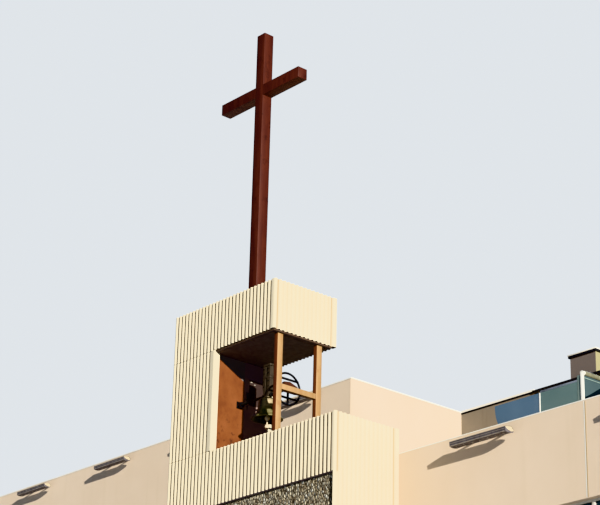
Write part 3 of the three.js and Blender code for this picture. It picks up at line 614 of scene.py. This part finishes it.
def tower_cap():
    form = Form()
    foot, head = SOFFIT, CAP_TOP
    thick, right = WALL - RIB_DEPTH, CAP_RIGHT - RIB_DEPTH
    form.tint = 1
    form.box((WALL_LEFT, RIB_DEPTH, foot), (right, WALL, head))
    form.box((WALL_LEFT, DEEP - WALL, foot), (right, DEEP - RIB_DEPTH, head))
    form.box((WALL_LEFT, WALL - 1, foot), (WALL_LEFT + thick, DEEP - WALL + 1, head))
    form.tint = 0
    form.box((right - thick, WALL - 1, foot), (right, DEEP - WALL + 1, head))
    ribs(form, FRONT, X, -Y, FIRST_GROOVE, CAP_LAST, foot, head)
    ribs(form, BACK, X, Y, FIRST_GROOVE, CAP_LAST, foot, head)
    for x, out in ((LEFT, -X), (CAP_RIGHT, X)):
        ribs(form, X * x, Y, out, *SIDES, foot, head)
    for x, way, reach in ((LEFT, X, LEFT_REACH), (CAP_RIGHT, -X, CAP_REACH)):
        corner_post(form, (x, 0), way, reach, Y, SIDE_FIRST, foot, head)
        corner_post(form, (x, DEEP), way, reach, -Y, SIDE_END, foot, head)
    # The cap's downward faces take the dark sheet: painted shade under the ribs' feet
    form.tint_side(-Z, 2)
    form.finish("ribbed_cap", "ribbed_render", [cream, groove_shade_cream, dark_sheet], ["cap_fascia"])


def soffit():
    """The dark underside of the cap, with a brown edge and trim."""
    form = Form()
    foot, lip, back_lip, trim = SOFFIT_FOOT, RIB_DEPTH + 4, 90, 14
    form.box((RUST_FACE + 1, WALL + 1, foot), (CAP_RIGHT - lip, DEEP - back_lip, SOFFIT))
    form.box((FIN_RETURN + 1, lip, foot), (CAP_RIGHT - lip, WALL + 2, SOFFIT))
    form.tint_side(-Y, 1)
    form.tint_side(X, 1)
    form.tint = 1
    near, right = WALL - 40, CAP_RIGHT - WALL
    form.box((FIN_RETURN + 1, near, foot - 5), (right, near + trim, foot + 2))
    form.box((right - trim, near, foot - 5), (right, DEEP - WALL, foot + 2))
    form.finish("belfry_soffit", "dark_sheet", [dark_sheet, soffit_edge], ["cap_soffit"])


def posts_and_rail():
    """Orange steel with red-brown fronts, and a rail between the posts."""
    for name, y in (("front_post", FRONT_POST_Y), ("rear_post", REAR_POST_Y)):
        form = Form()
        form.box((POST_LEFT, y, PARAPET_FOOT), (POST_RIGHT, y + POST_DEPTH, SOFFIT_FOOT), 5)
        form.tint_side(-Y, 1)
        form.finish(name, "orange_steel", [orange, red_brown], ["belfry_" + name])
    form = Form()
    inset = 3
    form.box((POST_LEFT + inset, FRONT_POST_Y + POST_DEPTH, RAIL_TOP - RAIL_HEIGHT),
             (POST_RIGHT - inset, REAR_POST_Y, RAIL_TOP), 5)
    form.tint_side(Z, 1)
    form.tint_side(-Z, 1)
    form.finish("bearing_rail", "orange_steel", [orange, red_brown], ["belfry_rail"])


def control_box():
    """A small box with its pipe, and two pale fixings that are painted spots of sunlight, on the rusty
    panel.
    """
    form = Form()
    near, far, low, high, thick = 834, 892, 12648, 12826, 28
    form.box((RUST_FACE, near, low), (RUST_FACE + thick, far, high), 5)
    pipe = Vector((RUST_FACE + thick / 2, (near + far) / 2, low + 2))
    form.rod(pipe, pipe - Z * 150, 8, 12)
    # Two pale fixings: painted spots of sunlight
    form.tint = 1
    for y, z, width, height in ((928, 13030, 44, 20), (1014, 12994, 30, 24)):
        form.box((RUST_FACE, y, z), (RUST_FACE + 18, y + width, z + height), 3)
    form.finish("control_box", "lamp_metal", [box_grey, lamp_tube])


def roof_cross():
    half, reach = CROSS_SECTION / 2, CROSS_SPAN / 2
    form = Form()
    form.box((-half, -half, CROSS_FOOT), (half, half, CROSS_TOP), 7)
    form.box((-reach, -half + 1, CROSS_ARM_Z - half), (reach, half - 1, CROSS_ARM_Z + half), 7)
    form.move(form.mesh.verts, (CROSS_X, CROSS_Y, 0))
    cross = form.finish("steel_cross", "cross_steel", [cross_paint], ["roof_cross"])
    # The nave's wall shows no shadow of it
    cross.visible_shadow = False


# Bell

def bronze_bell():
    form = Form()
    profile = [
        (0, 348), (60, 347), (110, 342), (136, 318), (146, 250), (154, 195), (170, 140), (187, 98),
        (208, 64), (230, 32), (247, 10), (262, 0), (276, -1), (285, 4), (285, 14), (278, 24),
        (258, 40), (249, 50), (243, 55), (237, 62), (224, 80), (214, 94), (215, 100), (209, 107),
        (198, 126), (184, 164), (174, 210), (171, 222), (174, 228), (170, 236), (166, 290),
        (164, 300), (167, 306), (163, 316), (159, 348), (148, 371), (128, 384), (106, 391),
        (66, 398), (62, 402), (62, 413), (0, 413),
    ]
    form.turned(profile, (BELL_X, AXLE_Y, BELL_MOUTH), steps=64)
    for x in (-30, 30):
        form.box(CLAPPER_PIN + Vector((x - 6, -14, -14)), CLAPPER_PIN + Vector((x + 6, 14, 42)), 2)
    form.rod(CLAPPER_PIN - X * 40, CLAPPER_PIN + X * 40, 8, 16)
    form.finish("bronze_bell", "bell_bronze", [bell_metal], ["bell"], "turning_bell", angle=50)


def headstock():
    """Two upright timbers in two lengths, a band between them, a lid, and rows of bolts."""
    form = Form()
    half, deep, ledge, lid, gap = 95, 50, 12873, 13088, 24
    for sign in (-1, 1):
        lower = [(10, STOCK_FOOT), (44, STOCK_FOOT), (72, 12570), (89, STOCK_SHOULDER),
                 (half, 12730), (half, ledge - gap), (24, ledge - gap), (20, STOCK_SHOULDER)]
        upper = [(23, ledge + gap), (half - 3, ledge + gap), (half - 3, lid - 10), (23, lid - 10)]
        for outline, depth in ((lower, deep), (upper, deep - 3)):
            points = [Vector((BELL_X + sign * x, AXLE_Y - depth, z)) for x, z in outline]
            form.prism(points, Y * 2 * depth)
    for low, high, out, bevel in ((lid, STOCK_TOP, 0, 8), (ledge - 20, ledge + 20, 2, 4)):
        form.box((BELL_X - half - out, AXLE_Y - deep - out, low),
                 (BELL_X + half + out, AXLE_Y + deep + out, high), bevel)
    form.tint = 1
    form.box((BELL_X - 40, AXLE_Y - 26, STOCK_FOOT + 4), (BELL_X + 40, AXLE_Y + 26, lid + 12))
    for side in (-1, 1):
        for x in (BELL_X - 62, BELL_X + 62):
            for z in (12700, 12800, 12950, 13030):
                y = AXLE_Y + side * deep
                form.rod((x, y, z), (x, y + 9 * side, z), 12, 6)
    form.finish("bell_yoke", "headstock_wood", [olive_timber, black_iron], ["bell_headstock"],
                "turning_bell")


def bell_wheel():
    form = Form()
    centre = Vector((WHEEL_X, AXLE_Y, AXLE_Z))
    form.hoop(centre, WHEEL_RADIUS, WHEEL_TUBE)
    near, far, half = 2, 28, 17
    chord_half = math.sqrt(WHEEL_RADIUS ** 2 - WHEEL_CHORD ** 2)
    form.box(centre + Vector((near, -half, -WHEEL_RADIUS)), centre + Vector((far, half, 0)), 3)
    for z, reach in ((-WHEEL_CHORD, chord_half), (0, WHEEL_RADIUS), (WHEEL_CHORD, chord_half)):
        form.box(centre + Vector((near, -reach, z - half)), centre + Vector((far, reach, z + half)), 3)
    form.rod(centre - X * 30, centre + X * 30, 48, 24)
    form.finish("iron_wheel", "black_iron", [black_iron], ["bell_wheel"], "turning_bell")


def bell_axle():
    form = Form()
    form.rod((RUST_FACE + 10, AXLE_Y, AXLE_Z), (BLOCK_RIGHT - 10, AXLE_Y, AXLE_Z), 25, 32)
    for x in (BELL_X - 112, BELL_X + 98):
        form.rod((x, AXLE_Y, AXLE_Z), (x + 14, AXLE_Y, AXLE_Z), 42, 28)
    form.finish("steel_axle", "axle_steel", [axle_black], ["bell_axle"], "turning_bell")


def wall_bearing():
    """A bolted plate with a round housing on the rusty panel."""
    form = Form()
    hub, half, bolt = Vector((RUST_FACE, AXLE_Y, AXLE_Z)), (Y + Z) * 65, 48
    form.box(hub - half, hub + X * 14 + half, 3)
    form.rod(hub + X * 4, hub + X * 78, 54, 28)
    for y in (-bolt, bolt):
        for z in (-bolt, bolt):
            foot = hub + Y * y + Z * z
            form.rod(foot + X * 10, foot + X * 26, 9, 6)
    form.finish("wall_bearing", "black_iron", [black_iron], ["left_bearing"])


def rail_bearing():
    """A block with two bolts, on an arm from between the posts."""
    form = Form()
    form.prism([Vector((BLOCK_LEFT, y, z)) for y, z in BLOCK_SIDE], X * (BLOCK_RIGHT - BLOCK_LEFT))
    form.box((BLOCK_RIGHT - 4, ARM_FRONT, ARM_FOOT), (POST_LEFT, ARM_BACK - 2, ARM_TOP), 4)
    for y in (565, 805):
        form.rod((BLOCK_RIGHT - 4, y, 12525), (BLOCK_RIGHT + 10, y, 12525), 14, 6)
    form.finish("rail_bearing", "orange_steel", [block_brown], ["right_bearing"])


def bell_clapper():
    form = Form()
    profile = [(0, -476), (36, -462), (44, -434), (30, -408), (14, -398), (14, -336), (24, -320),
               (42, -300), (46, -272), (30, -244), (12, -232), (12, -24), (0, -22)]
    form.turned(profile, CLAPPER_PIN, steps=28)
    form.rod(CLAPPER_PIN - X * 18, CLAPPER_PIN + X * 18, 22, 24)
    form.finish("clapper", "axle_steel", [pale_clapper], ["bell_clapper"], "clapper", angle=50)


# Nave

bay_centres = [LAST_BAY_X - i * BAY for i in range(BAYS)]


def slot_window(frames, panes, wall):
    """Frame, transoms, sill and pane of one tall slot, set back in its wall."""
    half, foot, head, bar, transoms = SLOT_WIDTH / 2, SLOT_FOOT, SLOT_HEAD, 50, 4
    frames.bar(wall, (-half, -half + bar), (foot, head), (150, 210))
    frames.bar(wall, (half - bar, half), (foot, head), (150, 210))
    for i in range(transoms + 1):
        z = foot + (head - foot - bar) * i / transoms
        frames.bar(wall, (-half + bar - 2, half - bar + 2), (z, z + bar), (152, 208))
    frames.bar(wall, (-half - 40, half + 40), (foot - 40, foot + 4), (-35, 190))
    panes.bar(wall, (-half + 40, half - 40), (foot + 30, head - 30), (176, 188), 0)


def nave_windows():
    frames, panes = Form(), Form()
    for x in bay_centres:
        slot_window(frames, panes, (Vector((x, NAVE_FRONT, 0)), X, Y))
        slot_window(frames, panes, (Vector((x, NAVE_BACK, 0)), X, -Y))
    for y in END_SLOTS_Y:
        slot_window(frames, panes, (Vector((NAVE_LEFT, y, 0)), Y, X))
    frames.finish("nave_window_frames", "white_metal", [window_frame])
    panes.finish("nave_window_panes", "window_glass", [window_glass], ["nave_window_glass"])


def nave_coping():
    """White copings, with a dark strip of painted shadow under the one on the step wall."""
    form = Form()
    over, lap, thick, wall = 10, 2, 24, NAVE_WALL
    left, right, step = NAVE_LEFT, NAVE_RIGHT, NAVE_STEP_RIGHT
    front, turn, back = NAVE_FRONT, NAVE_STEP_Y, NAVE_BACK
    for low, high in (
            ((left - over, front - over), (right + over, front + wall)),
            ((left - over, back - wall), (step + over, back + over)),
            ((left - over, front + wall), (left + wall, back - wall)),
            ((right - wall, front + wall), (right + over, turn - over)),
            ((right - wall, turn - over), (step + over, turn + wall)),
            ((step - wall, turn + wall), (step + over, back - wall))):
        form.box((*low, NAVE_TOP - lap), (*high, NAVE_TOP + thick))
    # Painted shadow: a dark strip under the step wall's coping
    form.tint = 1
    form.box((right + 2, turn - 8, SHADOW_STRIP_FOOT), (step - 1, turn + 2, NAVE_TOP - lap - 1))
    form.tint = 0
    form.box((right + 2, turn - 12, NAVE_TOP - lap), (step + over, turn + 60, NAVE_TOP + 40))
    form.finish("nave_coping", "white_metal", [coping_white, canopy_and_shadow_sheet])


def step_wall():
    """Render above the terrace darkened as painted shade, up to the dark strip of painted shadow."""
    form = Form()
    left, right = NAVE_RIGHT + 1, NAVE_STEP_RIGHT - 1
    form.box((left, NAVE_STEP_Y - 4, TERRACE), (right, NAVE_STEP_Y + 2, SHADOW_STRIP_FOOT - 1))
    form.finish("terrace_wall_painted_shade", "tan_render", [step_wall_shade_render])


def door_leaf(name, low, high, handle_x):
    """Upright boards on a core, with a pull handle on two brackets."""
    near, foot, head = DOOR_FRONT, 12, 2840
    boards, depth, joint, inset = 7, 55, 1, 4
    form = Form()
    width = (high - low) / boards
    for i in range(boards):
        form.box((low + i * width + joint, near, foot),
                 (low + (i + 1) * width - joint, near + depth, head), 6)
    form.box((low + inset, near + 20, foot + 2), (high - inset, near + 50, head - 2))
    form.tint = 1
    pull = near - 60
    form.rod((handle_x, pull, 900), (handle_x, pull, 1500), 14, 16)
    for z in (960, 1440):
        form.rod((handle_x, pull, z), (handle_x, near + inset, z), 9, 12)
    form.finish(name, "door_wood", [door_timber, axle_steel], ["entrance_" + name.replace("leaf_", "")])


def entrance():
    left, right = LAST_BAY_X - DOORWAY_WIDTH / 2, LAST_BAY_X + DOORWAY_WIDTH / 2
    jamb, gap, handle = 60, 3, 70
    door_leaf("door_leaf_left", left + jamb, LAST_BAY_X - gap, LAST_BAY_X - handle)
    door_leaf("door_leaf_right", LAST_BAY_X + gap, right - jamb, LAST_BAY_X + handle)
    form = Form()
    near, far, trim = DOOR_FRONT - 12, DOOR_FRONT + 72, 56
    for low, high in ((left, left + trim), (right - trim, right)):
        form.box((low, near, 0), (high, far, DOORWAY_HEAD), 4)
    form.box((left, near, DOORWAY_HEAD - trim), (right, far, DOORWAY_HEAD), 4)
    form.finish("door_frame", "white_metal", [window_frame])


# Wing

def ribbon_window(frames, panes, wall, length, head):
    """A long window of equal lights in a frame, set back in its wall."""
    foot, bar, light_width = head - RIBBON_HEIGHT, 60, 1165
    lights = max(2, round(length / light_width))
    frames.bar(wall, (0, length), (head - 34, head), (100, 165))
    frames.bar(wall, (0, length), (foot, foot + bar), (100, 165))
    frames.bar(wall, (-40, length + 40), (foot - 36, foot + 4), (-35, 150))
    for i in range(lights + 1):
        u = (length - bar) * i / lights
        frames.bar(wall, (u, u + bar), (foot + bar - 4, head - 30), (102, 163))
    panes.bar(wall, (20, length - 20), (foot + 30, head - 30), (130, 140), 0)


def wing_windows():
    rows = (((Vector((RIBBON_LEFT, WING_FRONT, 0)), X, Y), RIBBON_RIGHT - RIBBON_LEFT),
            ((Vector((WING_RIGHT, END_RIBBON[0], 0)), Y, -X), END_RIBBON[1] - END_RIBBON[0]),
            ((Vector((BACK_RIBBON_LEFT, WING_BACK, 0)), X, -Y), RIBBON_RIGHT - BACK_RIBBON_LEFT))
    frames = Form()
    for head, storey in zip(RIBBON_HEADS, ("upper", "middle", "ground")):
        panes = Form()
        for wall, length in rows:
            ribbon_window(frames, panes, wall, length, head)
        panes.finish(storey + "_window_panes", "window_glass", [window_glass],
                     [storey + "_window_glass"])
    frames.finish("wing_window_frames", "white_metal", [window_frame])


def wing_coping():
    form = Form()
    over, thick, lap, wall = 4, 12, 4, WING_WALL
    for low, high in (
            ((NAVE_RIGHT, WING_FRONT - over), (WING_RIGHT + over, WING_FRONT + wall)),
            ((NAVE_RIGHT, WING_FRONT + wall), (NAVE_RIGHT + wall, NAVE_FRONT - 2)),
            ((WING_RIGHT - wall, WING_FRONT + wall), (WING_RIGHT + over, WING_BACK - wall)),
            ((STAIR_RIGHT + 2, WING_BACK - wall), (WING_RIGHT + over, WING_BACK + over))):
        form.box((*low, WING_TOP - lap), (*high, WING_TOP + thick))
    form.finish("wing_coping", "tan_render", [coping_white])


def wall_joint():
    """The upright joint in the wing's front, with a pale edge on its left."""
    form = Form()
    edge, joint, right, foot, head = 4054, 4074, 4096, 9560, WING_TOP - 18
    form.box((joint, WING_FRONT - 3, foot), (right, WING_FRONT + 1, head))
    form.tint = 1
    form.box((edge, WING_FRONT - 2, foot), (joint, WING_FRONT + 1, head))
    form.finish("wall_joint", "dark_sheet", [joint_brown, coping_white])


def canopy():
    """The stair block's dark flat roof, and a drip edge along its front."""
    form = Form()
    near, side, back, drip = 9570, 200, 200, 15
    form.box((NAVE_STEP_RIGHT, near, STAIR_TOP), (STAIR_RIGHT + side, STAIR_BACK + back, CANOPY_TOP), 4)
    form.finish("dark_canopy", "dark_sheet", [canopy_and_shadow_sheet], ["stair_block_roof"])
    form = Form()
    form.box((NAVE_STEP_RIGHT + 4, near + drip, STAIR_TOP - 12),
             (STAIR_RIGHT + side - drip, near + 2 * drip, STAIR_TOP + 2))
    form.finish("canopy_drip", "dark_sheet", [canopy_and_shadow_sheet])


def chimney():
    """A pale shaft, grey on its front and left as painted shade, under a dark neck that is the lid's
    painted shadow, and a white lid.
    """
    form = Form()
    left, front, right, back, top = -3440, 9920, -2730, 10820, 15786
    skin, neck, lid = 8, 50, 76
    form.box((left, front + 3, CANOPY_TOP), (right, back, top))
    # Grey skins on the front and left: painted shade
    form.tint = 1
    form.box((left - 2, front, CANOPY_TOP), (right - 4, front + skin, top - 1))
    form.box((left - 2, front + skin, CANOPY_TOP), (left + 6, back - 4, top - 1))
    form.finish("chimney_shaft", "tan_render", [chimney_side, chimney_render], ["chimney"])
    form = Form()
    # White lid over a dark neck, the neck a painted shadow under the lid
    for tint, out, low, high, bevel in ((0, 45, neck - 2, lid, 5), (1, 36, 0, neck, 3)):
        form.tint = tint
        form.box((left - out, front - out, top + low), (right + out, back + out, top + high), bevel)
    form.finish("chimney_lid", "concrete", [coping_white, canopy_and_shadow_sheet], ["chimney_cap"])


def balustrade():
    """Mullion and edge strips of the glass, a white post, the handrail and a dark corner of painted
    shadow.
    """
    glass_front, glass_left, strip_left, glass_top = 1496, 3164, 3930, 11435
    post_left, post_right, post_front, post_back, post_top = 4003, 4053, 1481, 1531, 11562
    post_x, rail_start, rail_end = (post_left + post_right) / 2, 1556, 9600
    form = Form()
    form.box((3140, glass_front - 2, WING_TOP + 12), (glass_left, 1512, glass_top), 3)
    form.tint = 1
    form.box((strip_left, glass_front + 2, WING_TOP + 12), (3990, 1508, 11530), 2)
    form.tint = 2
    form.box((glass_left, glass_front, glass_top - 1), (strip_left, 1506, 11466), 2)
    form.finish("glass_mullion", "white_metal", [white_metal, strip_green, strip_grey])
    form = Form()
    form.box((post_left, post_front, WING_TOP + 2), (post_right, post_back, post_top), 12, 3)
    form.rod((post_x, glass_front, post_top - 2), (post_x, rail_start + 4, post_top), 32, 24)
    form.finish("white_post", "white_metal", [white_metal], ["balustrade_post"])
    form = Form()
    form.rod((post_x, rail_start, post_top), (post_x, rail_end, post_top), 40, 24)
    form.finish("handrail_tube", "white_metal", [rail_grey], ["balustrade_handrail"])
    # A dark wedge on the side pane: painted shadow
    form = Form()
    pane_x, foot = 4036, WING_TOP + 3
    wedge = [(1548, foot), (2240, foot), (2240, 11515), (2101, 11515), (1655, 11230), (1548, 11170)]
    form.prism([Vector((pane_x, y, z)) for y, z in wedge], X * 3)
    form.tint = 1
    form.box((pane_x, 1548, 11478), (pane_x + 5, 2300, 11490))
    form.finish("side_pane_painted_shadow_corner", "window_glass", [shadow_pane_glass, strip_green])


# Wall lamps

LAMP_LENGTH, LAMP_REACH, LAMP_DROP = 1230, 318, 180
WING_LAMP_X, WING_LAMP_STEP = 1474, 3584
# Sections of a lamp: distance towards the wall and height, from its front top edge
SHELL = [(4, -6), (150, 16), (202, -44), (184, -70), (118, -84), (60, -86), (12, -76), (6, -40)]
HOOD = [(0, -5), (0, 0), (76, 15), (150, 26), (182, -6), (209, -44), (204, -48), (148, 18)]
BELLY = [(209, -45), (190, -72), (120, -88), (60, -90), (8, -78)]
FAN = [(0, 0), (150, 27), (182, -8), *BELLY]
UPPER_FAN = [(0, 0), (150, 27), (182, -8), (209, -45), (150, -60), (90, -52), (40, -32)]
LOWER_FAN = [(40, -32), (90, -52), (150, -60), *BELLY, (0, 0)]


def wall_lamp(name, left, wall, wall_top):
    """A long housing on two arms, pale on top, dark below, with fan-shaped ends."""
    top, near, right = wall_top - LAMP_DROP, wall - LAMP_REACH, left + LAMP_LENGTH
    form = Form()
    for points, low, high, tint in (
            (SHELL, left + 10, right - 10, 0), (HOOD, left, right, 1),
            (FAN, left, left + 12, 0), (UPPER_FAN, right - 14, right, 1),
            (LOWER_FAN, right - 16, right - 3, 0)):
        form.tint = tint
        outline = [Vector((low, near + inward, top + up)) for inward, up in points]
        form.prism(outline, X * (high - low))
    # Two pale rods along the front are painted highlights; small pale blocks sit under the lamp
    form.tint = 2
    for y, z, radius, steps in ((near + 14, top - 74, 7, 12), (near + 5, top - 36, 4, 8)):
        form.rod((left + 14, y, z), (right - 14, y, z), radius, steps)
    blocks = 7
    for i in range(blocks):
        x = left + 90 + (LAMP_LENGTH - 200) * i / (blocks - 1)
        form.box((x, near + 56, top - 96), (x + 18, near + 116, top - 80), 4)
    form.tint = 0
    for x in (left + 250, right - 290):
        form.box((x, near + 140, top - 8), (x + 40, wall, top + 20), 3)
    form.finish(name.replace("_lamp_", "_wall_lamp_"), "lamp_metal",
                [lamp_grey, lamp_lip, lamp_tube], [name])


def wall_lamps():
    for i, x in enumerate(bay_centres):
        wall_lamp(f"nave_lamp_{BAYS - i}", x - LAMP_LENGTH / 2, NAVE_FRONT, NAVE_TOP)
    for i in range(2):
        wall_lamp(f"wing_lamp_{i + 1}", WING_LAMP_X + WING_LAMP_STEP * i, WING_FRONT, WING_TOP)


# Finishes of the solids that stay

def paint_nodes():
    finishes = {
        tan: ["nave_front_wall", "nave_back_wall", "nave_left_wall", "nave_right_wall",
              "wing_front_wall", "wing_left_wall", "wing_right_and_back_wall", "stair_block_walls"],
        concrete: ["belfry_floor", "cap_roof", "nave_roof", "nave_floor", "terrace_slab",
                   "upper_floor", "middle_floor", "ground_floor"],
        pebble_facing: ["pebble_panel"],
        rust_and_painted_shade_sheet: ["rusty_inner_panel"],
        pane_glass: ["balustrade_glass"],
        side_glass: ["balustrade_side_glass"],
    }
    for material, names in finishes.items():
        for name in names:
            nodes[name].material_slots[0].material = material


# Light, floor and camera

def sky():
    """A pale backdrop for the camera, and a dim blue sky for everything else."""
    world = bpy.data.worlds.new("studio")
    world.use_nodes = True
    bpy.context.scene.world = world
    tree = world.node_tree
    shade = tree.nodes["Background"]
    backdrop = tree.nodes.new("ShaderNodeBackground")
    for light, colour, strength in ((backdrop, (0.80, 0.84, 0.88, 1), 1.0),
                                    (shade, (0.52, 0.78, 1.25, 1), 0.08)):
        light.inputs["Color"].default_value = colour
        light.inputs["Strength"].default_value = strength
    rays = tree.nodes.new("ShaderNodeLightPath")
    blend = tree.nodes.new("ShaderNodeMixShader")
    tree.links.new(rays.outputs["Is Camera Ray"], blend.inputs[0])
    tree.links.new(shade.outputs[0], blend.inputs[1])
    tree.links.new(backdrop.outputs[0], blend.inputs[2])
    tree.links.new(blend.outputs[0], tree.nodes["World Output"].inputs[0])


def suns():
    """The low sun of the photo, and a soft fill for the sides and tops it leaves dark."""
    for name, energy, spread, colour, towards in (
            ("key", 7.5, 0.6, (1.0, 0.97, 0.87), (0.9185, -0.3511, 0.1819)),
            ("fill", 1.7, 40.0, (0.74, 0.88, 1.12), (-0.45, 0.55, 0.70))):
        sun = bpy.data.lights.new(name, "SUN")
        sun.energy, sun.angle, sun.color = energy, math.radians(spread), colour
        lamp = bpy.data.objects.new(name, sun)
        lamp.rotation_euler = Vector(towards).to_track_quat("Z", "Y").to_euler()
        into_scene(lamp)


def pale_floor():
    half_width, below_ground = 120, 0.002
    mesh = bpy.data.meshes.new("floor")
    plate = bmesh.new()
    bmesh.ops.create_grid(plate, x_segments=1, y_segments=1, size=half_width)
    plate.to_mesh(mesh)
    plate.free()
    floor = bpy.data.objects.new("floor", mesh)
    floor.location.z = -below_ground
    into_scene(floor)
    pale = Paint("pale_floor", 0.9)
    clouds = pale.noise(0.3).between(0.3, 0.7)
    pale.set("Base Color", pale.mix(clouds, (0.70, 0.71, 0.73), (0.67, 0.68, 0.70)))
    mesh.materials.append(pale.material)


def camera():
    """The camera solved from the photo: eye in metres, angles in degrees, lens in millimetres."""
    place, angles, lens, sensor = (29.087, -27.96, 1.6), (49.22, 22.69, 1.45), 116.2, 36
    yaw, pitch, roll = (math.radians(a) for a in angles)
    ahead = Vector((-math.sin(yaw) * math.cos(pitch), math.cos(yaw) * math.cos(pitch),
                    math.sin(pitch)))
    side = Vector((math.cos(yaw), math.sin(yaw), 0))
    up = side.cross(ahead)
    right = side * math.cos(roll) + up * math.sin(roll)
    top = up * math.cos(roll) - side * math.sin(roll)
    view = bpy.data.cameras.new("camera")
    view.lens, view.sensor_width, view.sensor_fit = lens, sensor, "HORIZONTAL"
    view.clip_end = 500
    eye = bpy.data.objects.new("camera", view)
    turn = Matrix((right, top, -ahead)).transposed().to_4x4()
    eye.matrix_world = Matrix.Translation(place) @ turn
    into_scene(eye)
    bpy.context.scene.camera = eye
    bpy.context.scene.view_settings.view_transform = "Khronos PBR Neutral"


for make in (sky, suns, pale_floor, camera, paint_nodes, tower_front, tower_back, tower_sides,
             tower_cap, soffit, posts_and_rail, control_box, roof_cross, bronze_bell, headstock,
             bell_wheel, bell_axle, wall_bearing, rail_bearing, bell_clapper, nave_windows,
             nave_coping, step_wall, entrance, wing_windows, wing_coping, wall_joint, canopy,
             chimney, balustrade, wall_lamps):
    make()
